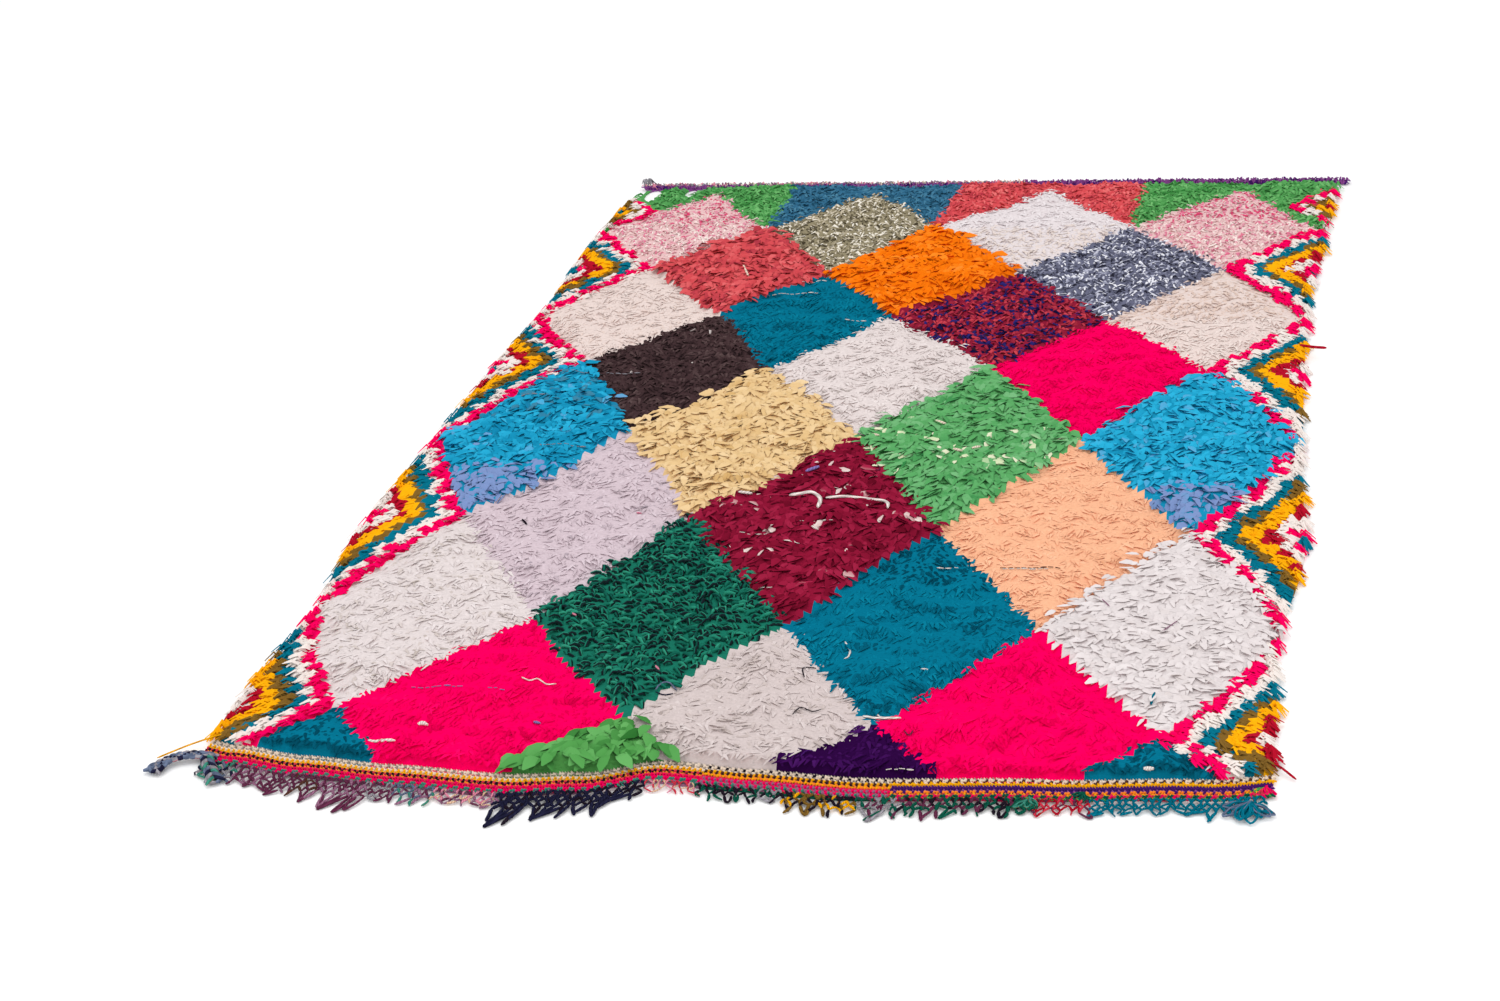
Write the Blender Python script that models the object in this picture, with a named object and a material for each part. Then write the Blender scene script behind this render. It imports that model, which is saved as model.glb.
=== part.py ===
"""A boucherouite rug lying flat: one knotted, shaggy cloth with a flat-woven band at each end,
a knotted fringe along its near end and a tufted edge along its far end.
Metres, +Z up. X runs across the rug, +Y along it to the far end. The origin is the middle of its footprint."""

import math
import random
from typing import NamedTuple

import bmesh
import bpy
from mathutils import Vector, noise

# Driving dimensions of the cloth
BAND_THICK = 0.005
NEAR_BAND_DEEP = 0.046
FAR_BAND_DEEP = 0.014
FAR_END = 1.203
WOOL_HIGH = 0.018
RAG_HIGH = 0.024
LUMP_HIGH = 0.006
LUMP_WIDE = 0.085
CLUMP_HIGH = 0.005
CLUMP_WIDE = 0.031
VALLEY_DEEP = 0.005
HALF_WIDE = 0.70
COLUMNS = 34
PILE_ROWS = 58

# The diamonds: the spacing of their corners across, and where their corners lie along the rug
DIAMOND_HALF = 0.175
CORNER_LINES = (-1.160, -0.970, -0.708, -0.402, -0.090, 0.202, 0.450, 0.678, 0.921, 1.147, 1.400)
RAG_DIAMONDS = {
    0: (3,),
    2: (3, 7),
    3: (4,),
    4: (1, 3, 5, 7),
    5: (2,),
    7: (2, 4),
}

# The locks along the two long sides
LOCK_REACH = 0.014
LOCK_TIP = 0.35
LOCK_TIP_HIGH = 0.005

# The near fringe and the far tufts
SEAM_GAP = 0.0006
STRIP_DEEP = 0.006
STRIP_THICK = 0.005
NEAR_STRANDS = 98
FAR_TUFTS = 72
STRAND_THICK = 0.0045
HOLE_SIDES = 10


class Side(NamedTuple):
    """How far the pile reaches to each side at one place along the rug."""

    along: float
    left: float
    right: float


class End(NamedTuple):
    """Where the near end of the cloth lies at one place across the rug."""

    across: float
    near: float


class Run(NamedTuple):
    """One length of the near fringe, up to a place across the rug, and how far its strands hang."""

    up_to: float
    hang: float
    uneven: float


class Hole(NamedTuple):
    """A worn hole through the cloth."""

    across: float
    along: float
    wide: float
    deep: float


SIDES = (
    Side(-1.160, -0.690, 0.656),
    Side(-0.870, -0.692, 0.656),
    Side(-0.720, -0.688, 0.654),
    Side(-0.420, -0.717, 0.684),
    Side(-0.120, -0.712, 0.676),
    Side(0.230, -0.710, 0.674),
    Side(0.530, -0.700, 0.676),
    Side(0.830, -0.714, 0.700),
    Side(1.100, -0.708, 0.718),
    Side(1.200, -0.694, 0.722),
)
ENDS = (
    End(-0.70, -1.086),
    End(-0.64, -1.103),
    End(-0.54, -1.121),
    End(-0.42, -1.133),
    End(-0.27, -1.143),
    End(-0.18, -1.131),
    End(-0.08, -1.096),
    End(0.03, -1.107),
    End(0.16, -1.116),
    End(0.38, -1.101),
    End(0.56, -1.086),
    End(0.68, -1.064),
)
RUNS = (
    Run(-0.61, 0.040, 0.008),
    Run(-0.50, 0.044, 0.008),
    Run(-0.44, 0.050, 0.010),
    Run(-0.36, 0.032, 0.006),
    Run(-0.27, 0.016, 0.005),
    Run(-0.14, 0.050, 0.010),
    Run(-0.06, 0.034, 0.008),
    Run(0.08, 0.018, 0.006),
    Run(0.15, 0.030, 0.008),
    Run(0.24, 0.034, 0.008),
    Run(0.42, 0.034, 0.007),
    Run(0.47, 0.030, 0.008),
    Run(0.60, 0.024, 0.006),
    Run(0.72, 0.036, 0.010),
)
HOLES = (
    Hole(-0.660, 1.156, 0.030, 0.066),
    Hole(-0.582, 1.168, 0.022, 0.036),
)


def between(rows, key, value, at):
    """Reads one column of a table of sections, eased between two rows."""
    if at <= getattr(rows[0], key):
        return getattr(rows[0], value)
    for low, high in zip(rows, rows[1:]):
        start, stop = getattr(low, key), getattr(high, key)
        if at <= stop:
            share = (at - start) / (stop - start)
            share = share * share * (3 - 2 * share)
            return getattr(low, value) * (1 - share) + getattr(high, value) * share
    return getattr(rows[-1], value)


def near_end(x):
    return between(ENDS, "across", "near", x)


def side_reach(y):
    """The pile's left and right reach, as two numbers."""
    return between(SIDES, "along", "left", y), between(SIDES, "along", "right", y)


def corner_line(y):
    """How many corner lines lie before y, with its share of the next gap."""
    for count, (low, high) in enumerate(zip(CORNER_LINES, CORNER_LINES[1:])):
        if y <= high:
            return count + max(0.0, (y - low) / (high - low))
    return float(len(CORNER_LINES) - 1)


def pile_high(x, y):
    """The shag's height: lumpy, taller in rag than in wool, and lower where two diamonds meet."""
    across = x / DIAMOND_HALF + 4
    along = corner_line(y)
    one, two = (across + along) / 2, (across - along) / 2
    column = math.floor(one) + math.floor(two) + 1
    line = math.floor(one) - math.floor(two)
    high = RAG_HIGH if column in RAG_DIAMONDS.get(line, ()) else WOOL_HIGH
    edge = min(abs(one - round(one)), abs(two - round(two)))
    valley = VALLEY_DEEP * math.exp(-((edge / 0.09) ** 2))
    lump = LUMP_HIGH * noise.noise(Vector((x / LUMP_WIDE, y / LUMP_WIDE, 0.3)))
    clump = CLUMP_HIGH * noise.noise(Vector((x / CLUMP_WIDE, y / CLUMP_WIDE, 1.7)))
    return high - valley + lump + clump


def material(name, colour, roughness):
    made = bpy.data.materials.new(name)
    made.use_nodes = True
    shader = made.node_tree.nodes["Principled BSDF"]
    shader.inputs["Base Color"].default_value = (*colour, 1)
    shader.inputs["Roughness"].default_value = roughness
    shader.inputs["Metallic"].default_value = 0.0
    return made


def add_object(name, mesh, finish):
    bmesh.ops.recalc_face_normals(mesh, faces=mesh.faces)
    data = bpy.data.meshes.new(name)
    mesh.to_mesh(data)
    mesh.free()
    data.materials.append(finish)
    made = bpy.data.objects.new(name, data)
    bpy.context.scene.collection.objects.link(made)
    return made


def row_places():
    """Each row of the cloth's top as its share of the way along, and whether it lies in the shag."""
    length = FAR_END - ENDS[4].near
    near, far = NEAR_BAND_DEEP / length, 1 - FAR_BAND_DEEP / length
    rows = [(0.0, False), (near / 2, False), (near * 0.97, False)]
    rows += [(near + (far - near) * k / PILE_ROWS, True) for k in range(PILE_ROWS + 1)]
    rows += [(far + (1 - far) * 0.06, False), (1.0, False)]
    return rows


def cloth_point(share_across, share_along, in_shag):
    guess = HALF_WIDE * (2 * share_across - 1)
    y = near_end(guess) * (1 - share_along) + FAR_END * share_along
    left, right = side_reach(y)
    inset = LOCK_REACH if in_shag else LOCK_REACH / 2
    x = (left + inset) * (1 - share_across) + (right - inset) * share_across
    edge = min(share_across, 1 - share_across)
    shoulder = 0.62 + 0.38 * min(1.0, edge * COLUMNS)
    high = pile_high(x, y) * shoulder if in_shag else BAND_THICK
    return Vector((x, y, high))


def near_edge(x):
    """Where the cloth's own near edge lies, read along its straight stretches."""
    corners = [cloth_point(c / COLUMNS, 0.0, False) for c in range(COLUMNS + 1)]
    for low, high in zip(corners, corners[1:]):
        if x <= high.x:
            break
    return low.y + (high.y - low.y) * (x - low.x) / (high.x - low.x)


def pull_lock(mesh, face, outward, wobble):
    """Draws one side face out into a lock that lies on the floor."""
    made = bmesh.ops.extrude_discrete_faces(mesh, faces=[face])["faces"][0]
    middle = made.calc_center_median()
    reach = LOCK_REACH * wobble.uniform(0.55, 1.0)
    for vertex in made.verts:
        vertex.co.x += outward * reach
        vertex.co.y = middle.y + (vertex.co.y - middle.y) * LOCK_TIP
        vertex.co.z = LOCK_TIP_HIGH if vertex.co.z > LOCK_TIP_HIGH else vertex.co.z


def build_cloth(finish):
    """The knotted cloth with its two flat-woven bands, as one solid with locks along its long sides."""
    mesh = bmesh.new()
    rows = row_places()
    top = [
        [mesh.verts.new(cloth_point(c / COLUMNS, share, shag)) for c in range(COLUMNS + 1)]
        for share, shag in rows
    ]
    for low, high in zip(top, top[1:]):
        for c in range(COLUMNS):
            mesh.faces.new((low[c], low[c + 1], high[c + 1], high[c]))
    rim = top[0] + [row[-1] for row in top[1:-1]] + top[-1][::-1] + [row[0] for row in top[-2:0:-1]]
    floor = {v: mesh.verts.new((v.co.x, v.co.y, 0.0)) for v in rim}
    sides = []
    for a, b in zip(rim, rim[1:] + rim[:1]):
        sides.append(mesh.faces.new((floor[a], floor[b], b, a)))
    mesh.faces.new([floor[v] for v in reversed(rim)])
    mesh.normal_update()
    wobble = random.Random(11)
    first, last = near_end(0) + NEAR_BAND_DEEP + 0.02, FAR_END - FAR_BAND_DEEP - 0.01
    long_sides = [f for f in sides if abs(f.normal.x) > 0.8]
    for face in long_sides:
        if first < face.calc_center_median().y < last:
            pull_lock(mesh, face, math.copysign(1, face.normal.x), wobble)
    return add_object("woven_rug", mesh, finish)


def cut_hole(cloth, hole, number):
    """Cuts a worn hole right through the cloth with an oval cutter."""
    mesh = bmesh.new()
    bmesh.ops.create_cone(
        mesh, cap_ends=True, segments=HOLE_SIDES, radius1=0.5, radius2=0.5, depth=0.1
    )
    for vertex in mesh.verts:
        vertex.co.x *= hole.wide
        vertex.co.y *= hole.deep
    data = bpy.data.meshes.new(f"hole_{number}")
    mesh.to_mesh(data)
    mesh.free()
    cutter = bpy.data.objects.new(data.name, data)
    cutter.location = (hole.across, hole.along, 0.0)
    cutter.hide_render = True
    cutter.display_type = "WIRE"
    bpy.context.scene.collection.objects.link(cutter)
    cut = cloth.modifiers.new(data.name, "BOOLEAN")
    cut.operation = "DIFFERENCE"
    cut.object = cutter


def strip_with_strands(name, count, inner_edge, outward, strand, finish):
    """A narrow strip along one end, with every second cell of its outer side drawn into a strand."""
    mesh = bmesh.new()
    cells = 2 * count + 1
    left, right = strand.span
    corners = []
    for k in range(cells + 1):
        x = left + (right - left) * k / cells
        y = inner_edge(x) + outward * SEAM_GAP
        corners.append(
            [
                mesh.verts.new((x, y + outward * deep, z))
                for deep in (0.0, STRIP_DEEP)
                for z in (0.0, STRIP_THICK)
            ]
        )
    outer = []
    for one, two in zip(corners, corners[1:]):
        mesh.faces.new((one[0], two[0], two[1], one[1]))
        mesh.faces.new((one[1], two[1], two[3], one[3]))
        mesh.faces.new((one[2], two[2], two[0], one[0]))
        outer.append(mesh.faces.new((one[3], two[3], two[2], one[2])))
    for end in (corners[0], corners[-1]):
        mesh.faces.new((end[0], end[1], end[3], end[2]))
    for number, face in enumerate(outer[1::2]):
        strand.draw(mesh, face, number, outward)
    return add_object(name, mesh, finish)


class NearStrand:
    """A strand of the near fringe: it leans one way or the other, and lies on the floor."""

    span = (-0.684, 0.650)
    steps = ((0.45, 0.80), (1.0, 0.45))

    def __init__(self):
        self.wobble = random.Random(5)

    def draw(self, mesh, face, number, outward):
        centre = face.calc_center_median()
        run = next((r for r in RUNS if centre.x < r.up_to), RUNS[-1])
        hang = run.hang + self.wobble.uniform(-run.uneven, run.uneven)
        lean = 0.0022 * (1 if number % 2 else -1) + self.wobble.uniform(-0.001, 0.001)
        wide = max(v.co.x for v in face.verts) - centre.x
        for share, width in self.steps:
            face = bmesh.ops.extrude_discrete_faces(mesh, faces=[face])["faces"][0]
            for vertex in face.verts:
                way = math.copysign(1, vertex.co.x - centre.x)
                vertex.co.x = centre.x + lean * share + way * wide * width
                vertex.co.y = centre.y + outward * hang * share
                vertex.co.z = STRAND_THICK * width if vertex.co.z > 0 else 0.0


class FarTuft:
    """A short tuft of the far edge: it stands a little up from the floor, and no two are alike."""

    span = (-0.690, 0.712)

    def __init__(self):
        self.wobble = random.Random(8)

    def draw(self, mesh, face, number, outward):
        centre = face.calc_center_median()
        reach = self.wobble.uniform(0.008, 0.020)
        lift = self.wobble.uniform(0.004, 0.010)
        face = bmesh.ops.extrude_discrete_faces(mesh, faces=[face])["faces"][0]
        for vertex in face.verts:
            vertex.co.x = centre.x + (vertex.co.x - centre.x) * 0.4
            vertex.co.y += outward * reach
            vertex.co.z = lift + (STRAND_THICK if vertex.co.z > 0 else 0.0)


def main():
    for old in list(bpy.data.objects):
        bpy.data.objects.remove(old)
    pile = material("pile", (0.62, 0.42, 0.42), 0.95)
    plum = material("fringe_yarn", (0.19, 0.10, 0.15), 0.9)
    violet = material("edge_yarn", (0.20, 0.05, 0.22), 0.9)
    cloth = build_cloth(pile)
    for number, hole in enumerate(HOLES, 1):
        cut_hole(cloth, hole, number)
    strip_with_strands("near_fringe", NEAR_STRANDS, near_edge, -1, NearStrand(), plum)
    strip_with_strands("far_tufts", FAR_TUFTS, lambda x: FAR_END, 1, FarTuft(), violet)


main()
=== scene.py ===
# %% [markdown]
# # A boucherouite rug
# A boucherouite is a rag rug: strips of old cloth and leftover wool are knotted, row by row, into a
# ground weave on an upright loom. This one lies flat with its pile up. We rebuild its looks around the
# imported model: the ground weave, the knots of every diamond, the zig-zag borders, the twined band at
# the near end with the net of yarn past it, and the violet ends along the far side.

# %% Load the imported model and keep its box
import math
import random
from typing import NamedTuple

import bmesh
import bpy
from mathutils import Matrix, Vector, noise


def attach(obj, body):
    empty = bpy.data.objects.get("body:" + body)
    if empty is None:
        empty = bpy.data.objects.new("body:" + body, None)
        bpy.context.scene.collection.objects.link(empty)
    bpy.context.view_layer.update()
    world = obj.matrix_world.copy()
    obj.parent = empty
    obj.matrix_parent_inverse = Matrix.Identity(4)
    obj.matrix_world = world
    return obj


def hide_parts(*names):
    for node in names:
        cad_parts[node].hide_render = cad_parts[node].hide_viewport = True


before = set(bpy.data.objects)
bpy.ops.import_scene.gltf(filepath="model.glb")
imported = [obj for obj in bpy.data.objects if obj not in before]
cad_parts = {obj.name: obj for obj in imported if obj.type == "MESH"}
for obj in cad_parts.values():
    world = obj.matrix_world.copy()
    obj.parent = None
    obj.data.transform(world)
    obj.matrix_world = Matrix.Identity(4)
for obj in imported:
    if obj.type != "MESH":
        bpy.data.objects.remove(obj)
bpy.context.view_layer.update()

# %% [markdown]
# ## Light, floor and camera
# A big soft panel overhead, another in front and a pale surround light the pile from all sides, so that
# only the gaps between tufts turn dark. The camera stands off the near right corner and looks down the
# rug. Its place was worked out from where the corners of the diamonds fall in the photograph.

# %% Camera
CAMERA_AT = Vector((0.689, -3.583, 1.541))
PITCH = math.radians(24.40)
YAW = math.radians(-14.13)
ROLL = math.radians(-4.82)
LENS = 60

ahead = Vector((math.sin(YAW) * math.cos(PITCH), math.cos(YAW) * math.cos(PITCH), -math.sin(PITCH)))
level = Vector((math.cos(YAW), -math.sin(YAW), 0))
upright = level.cross(ahead)
right = level * math.cos(ROLL) + upright * math.sin(ROLL)
above = upright * math.cos(ROLL) - level * math.sin(ROLL)

camera = bpy.data.objects.new("camera", bpy.data.cameras.new("camera"))
camera.data.lens = LENS
camera.data.sensor_width = 36
camera.data.clip_end = 50
turned = Matrix((right, above, -ahead)).transposed()
camera.matrix_world = Matrix.Translation(CAMERA_AT) @ turned.to_4x4()
bpy.context.scene.collection.objects.link(camera)
bpy.context.scene.camera = camera
print("camera", [round(c, 2) for c in CAMERA_AT], "m, lens", LENS, "mm")


# %% Light and surround
def add_panel(name, place, aim, size, power):
    """A square soft light that faces the point aim."""
    light = bpy.data.lights.new(name, "AREA")
    light.size = size
    light.energy = power
    lamp = bpy.data.objects.new(name, light)
    lamp.location = place
    lamp.rotation_euler = (Vector(aim) - Vector(place)).to_track_quat("-Z", "Y").to_euler()
    bpy.context.scene.collection.objects.link(lamp)


add_panel("overhead_panel", place=(-0.7, -0.6, 3.4), aim=(0, 0, 0), size=3.2, power=21)
add_panel("front_panel", place=(1.6, -3.6, 2.4), aim=(0, -0.2, 0), size=2.4, power=30)

surround = bpy.data.worlds.new("surround")
surround.use_nodes = True
surround.node_tree.nodes["Background"].inputs["Color"].default_value = (1, 1, 1, 1)
surround.node_tree.nodes["Background"].inputs["Strength"].default_value = 1.0
bpy.context.scene.world = surround
bpy.context.scene.view_settings.view_transform = "Standard"
bpy.context.scene.view_settings.look = "None"


# %% [markdown]
# ## Writing node trees as sums
# A tree of nodes is easier to read as arithmetic. One small class wraps a socket, so that `u * 24 % 1`
# adds its Math nodes. The other adds any node from its type, its settings and its inputs.

# %% A socket that can be added and multiplied, and a board of nodes
class Wire:
    """One output socket. Arithmetic on it adds Math nodes, and wire["name"] is another output."""

    def __init__(self, board, node, socket):
        self.board, self.node, self.socket = board, node, socket

    def __getitem__(self, name):
        return Wire(self.board, self.node, self.node.outputs[name])

    def maths(self, operation, *values):
        return self.board.add("ShaderNodeMath", {"operation": operation}, dict(enumerate(values)))

    def __add__(self, other):
        return self.maths("ADD", self, other)

    def __sub__(self, other):
        return self.maths("SUBTRACT", self, other)

    def __rsub__(self, other):
        return self.maths("SUBTRACT", other, self)

    def __mul__(self, other):
        return self.maths("MULTIPLY", self, other)

    def __truediv__(self, other):
        return self.maths("DIVIDE", self, other)

    def __mod__(self, other):
        return self.maths("MODULO", self, other)

    def sine(self):
        return self.maths("SINE", self)

    def whole(self):
        return self.maths("FLOOR", self)

    def within(self, low, high):
        return self.maths("MINIMUM", self.maths("MAXIMUM", self, low), high)


class Board:
    """The nodes of one tree."""

    def __init__(self, tree):
        self.tree = tree

    def add(self, kind, settings=None, inputs=None, out=0):
        """Adds a node: its settings first, then a value or a wire for each input socket."""
        node = self.tree.nodes.new(kind)
        for name, value in (settings or {}).items():
            if name == "stops":
                self.set_stops(node.color_ramp, value)
            else:
                setattr(node, name, value)
        for name, value in (inputs or {}).items():
            if isinstance(value, Wire):
                self.tree.links.new(value.socket, node.inputs[name])
            else:
                node.inputs[name].default_value = value
        return Wire(self, node, node.outputs[out] if len(node.outputs) else None)

    def set_stops(self, ramp, stops):
        for place, colour in stops[2:]:
            ramp.elements.new(place)
        for element, (place, colour) in zip(ramp.elements, stops):
            element.position = place
            element.color = colour

    def vector(self, x, y, z=0.0):
        return self.add("ShaderNodeCombineXYZ", inputs={"X": x, "Y": y, "Z": z})

    def scaled(self, vector, by):
        return self.add("ShaderNodeVectorMath", {"operation": "SCALE"}, {0: vector, "Scale": by})

    def mixed(self, share, one, two):
        """A colour part way from one to two."""
        settings = {"data_type": "RGBA", "clamp_factor": True}
        return self.add("ShaderNodeMix", settings, {0: share, 6: one, 7: two}, out=2)


print("maths on sockets is ready")


# %% Colours by their web codes
def dye(code):
    """A linear colour from a web colour code."""
    parts = [int(code[k:k + 2], 16) / 255 for k in (0, 2, 4)]
    linear = [c / 12.92 if c <= 0.04045 else ((c + 0.055) / 1.055) ** 2.4 for c in parts]
    return (*linear, 1.0)


print("hot pink in linear light:", [round(c, 3) for c in dye("F8005F")])

# %% Floor
FLOOR_HALF = 12
FLOOR_GAP = 0.0006

floor_corners = [(FLOOR_HALF * x, FLOOR_HALF * y, 0) for x, y in ((-1, -1), (1, -1), (1, 1), (-1, 1))]
floor_mesh = bpy.data.meshes.new("floor")
floor_mesh.from_pydata(floor_corners, [], [(0, 1, 2, 3)])
floor = bpy.data.objects.new("floor", floor_mesh)
floor.location.z = -FLOOR_GAP
paint = bpy.data.materials.new("pale_floor")
paint.use_nodes = True
paint.node_tree.nodes["Principled BSDF"].inputs["Base Color"].default_value = dye("FDFDFD")
paint.node_tree.nodes["Principled BSDF"].inputs["Roughness"].default_value = 0.9
floor_mesh.materials.append(paint)
bpy.context.scene.collection.objects.link(floor)


# %% [markdown]
# ## The cloth's outline and height
# The weaver's edges wander, so the outline is a short table of how far the pile reaches to each side at
# a few places, eased in between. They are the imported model's own sizes, but for the far end, which lies
# 15 mm further out, where the photograph has it.

# %% Outline
FAR_END = 1.218
NEAR_BAND_DEEP = 0.046
FAR_BAND_DEEP = 0.014
LOCK_REACH = 0.014
ROW_PITCH = 0.0212
GROUND_THICK = 0.003


class Side(NamedTuple):
    along: float
    left: float
    right: float


class End(NamedTuple):
    across: float
    near: float


SIDES = (
    Side(-1.160, -0.690, 0.656),
    Side(-0.870, -0.692, 0.656),
    Side(-0.720, -0.688, 0.654),
    Side(-0.420, -0.717, 0.684),
    Side(-0.120, -0.712, 0.676),
    Side(0.230, -0.710, 0.674),
    Side(0.530, -0.700, 0.676),
    Side(0.830, -0.714, 0.700),
    Side(1.100, -0.708, 0.718),
    Side(1.200, -0.694, 0.722),
)
ENDS = (
    End(-0.70, -1.086),
    End(-0.64, -1.103),
    End(-0.54, -1.121),
    End(-0.42, -1.133),
    End(-0.27, -1.143),
    End(-0.18, -1.131),
    End(-0.08, -1.096),
    End(0.03, -1.107),
    End(0.16, -1.116),
    End(0.38, -1.101),
    End(0.56, -1.086),
    End(0.68, -1.064),
)


def between(rows, key, value, at):
    """Reads one column of a table, eased between two rows."""
    if at <= getattr(rows[0], key):
        return getattr(rows[0], value)
    for low, high in zip(rows, rows[1:]):
        start, stop = getattr(low, key), getattr(high, key)
        if at <= stop:
            share = (at - start) / (stop - start)
            share = share * share * (3 - 2 * share)
            return getattr(low, value) * (1 - share) + getattr(high, value) * share
    return getattr(rows[-1], value)


def near_end(x):
    """Where the woven band ends on the fringed side."""
    return between(ENDS, "across", "near", x)


def reach(y):
    """How far the pile reaches to the left and to the right."""
    return between(SIDES, "along", "left", y), between(SIDES, "along", "right", y)


print("the near end wanders from", min(e.near for e in ENDS), "to", max(e.near for e in ENDS), "m")

# %% [markdown]
# ## The lattice of diamonds
# Each diamond is as wide as two steps across and as long as two of the corner lines. A weaver counts
# knots by eye, so the corners stray. The table of strays says by how much, and every knot near such a
# corner moves with it.

# %% Lattice
DIAMOND_HALF = 0.175
LATTICE_LEFT = -0.715
CORNER_LINES = (-1.160, -0.970, -0.708, -0.402, -0.090, 0.202, 0.450, 0.678, 0.921, 1.147, 1.400)
STRAY_REACH = 0.13


class Stray(NamedTuple):
    """A corner of the lattice, by its column and line, and how far it lies off its place, in mm."""

    column: int
    line: int
    across: float
    along: float


STRAYS = (
    Stray(0, 0, 0, -40),
    Stray(2, 0, 8, -52),
    Stray(4, 0, 2, 44),
    Stray(3, 1, 36, -4),
    Stray(2, 2, 13, -2),
    Stray(4, 2, 13, -8),
    Stray(0, 2, 45, 12),
    Stray(8, 2, -42, 12),
    Stray(1, 3, -15, 8),
    Stray(3, 3, -18, 16),
    Stray(5, 3, 0, -13),
    Stray(7, 3, 0, -8),
    Stray(0, 4, 30, -22),
    Stray(2, 4, -20, 22),
    Stray(8, 4, -30, 0),
    Stray(1, 5, 0, 20),
    Stray(3, 5, -24, -6),
    Stray(2, 6, 7, 11),
    Stray(4, 6, -34, 0),
    Stray(6, 6, -6, -15),
    Stray(0, 6, 30, 0),
    Stray(8, 6, -20, 0),
    Stray(1, 7, 4, 20),
    Stray(3, 7, -10, -19),
    Stray(5, 7, -11, -12),
    Stray(7, 7, 6, 10),
    Stray(4, 8, -22, 11),
    Stray(0, 8, 18, 0),
    Stray(8, 8, -12, -18),
    Stray(1, 9, 22, 0),
    Stray(7, 9, 20, -5),
)


def corner_line(y):
    """How many corner lines lie before y, with its share of the next gap."""
    for count, (low, high) in enumerate(zip(CORNER_LINES, CORNER_LINES[1:])):
        if y <= high:
            return count + max(0.0, (y - low) / (high - low))
    return float(len(CORNER_LINES) - 1)


def lattice(x, y):
    """A place on the rug as its column and line in the lattice."""
    push_across = push_along = 0.0
    for stray in STRAYS:
        gap_across = x - (LATTICE_LEFT + stray.column * DIAMOND_HALF)
        gap_along = y - CORNER_LINES[stray.line]
        weight = math.exp(-(gap_across ** 2 + gap_along ** 2) / STRAY_REACH ** 2)
        push_across += weight * stray.across / 1000
        push_along += weight * stray.along / 1000
    return (x - push_across - LATTICE_LEFT) / DIAMOND_HALF, corner_line(y - push_along)


def diamond(column, line):
    """The column and line of the middle of the diamond that a place lies in."""
    one, two = math.floor((column + line) / 2), math.floor((column - line) / 2)
    return one + two + 1, one - two


print("middle of the rug lies in diamond", diamond(*lattice(0, 0)))

# %% [markdown]
# ## The yarns
# Two very different things are knotted here. Wool makes soft, matted tufts. Rag is cut cloth, so its
# ends stand like small leaves. A few diamonds mix short ends of several colours. A kind says how such
# a knot is tied and cut, and a yarn says which kind it is and gives its run of shades.

# %% Kinds of knot
class Kind(NamedTuple):
    """How a yarn is knotted and cut: spacing and sizes in metres, angles in degrees.

    Cut cloth has flat faces with crisp edges. Only round yarns are smooth.
    """

    pitch: float
    long: float
    half_wide: float
    thick: float
    tip: float
    points: int
    fan: float
    roll: float
    wobble: float
    bed: float
    smooth: bool = False


KINDS = {
    "wool": Kind(0.0054, 0.020, 0.0031, 0.14, 0.15, 3, 44, 14, 0.0050, 0.95),
    "matted": Kind(0.0056, 0.018, 0.0030, 0.10, 0.15, 3, 80, 10, 0.0045, 0.95),
    "rag": Kind(0.0081, 0.024, 0.0066, 0.03, 0.10, 4, 60, 32, 0.0062, 0.92),
    "leaf": Kind(0.0104, 0.038, 0.0092, 0.03, 0.03, 5, 55, 30, 0.0060, 0.84),
    "petal": Kind(0.0068, 0.019, 0.0052, 0.03, 0.15, 4, 110, 24, 0.0050, 0.985),
    "strip": Kind(0.0084, 0.015, 0.0036, 0.55, 0.70, 4, 60, 20, 0.0030, 0.80, True),
    "clipped": Kind(0.0056, 0.013, 0.0026, 0.30, 0.40, 3, 80, 40, 0.0045, 0.88),
    "tufted": Kind(0.0068, 0.016, 0.0038, 0.25, 0.35, 3, 80, 40, 0.0050, 0.86),
}
BORDER_KIND = Kind(0.0166, 0.019, 0.0036, 0.40, 0.30, 3, 14, 30, 0.0040, 0.80)
print(len(KINDS), "kinds of knot")


# %% Yarns with their runs of shades
class Yarn(NamedTuple):
    """A yarn's kind, its shades from the first lane to the last, and how far knots stray among them."""

    kind: str
    shades: tuple
    stray: float = 0.12


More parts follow.
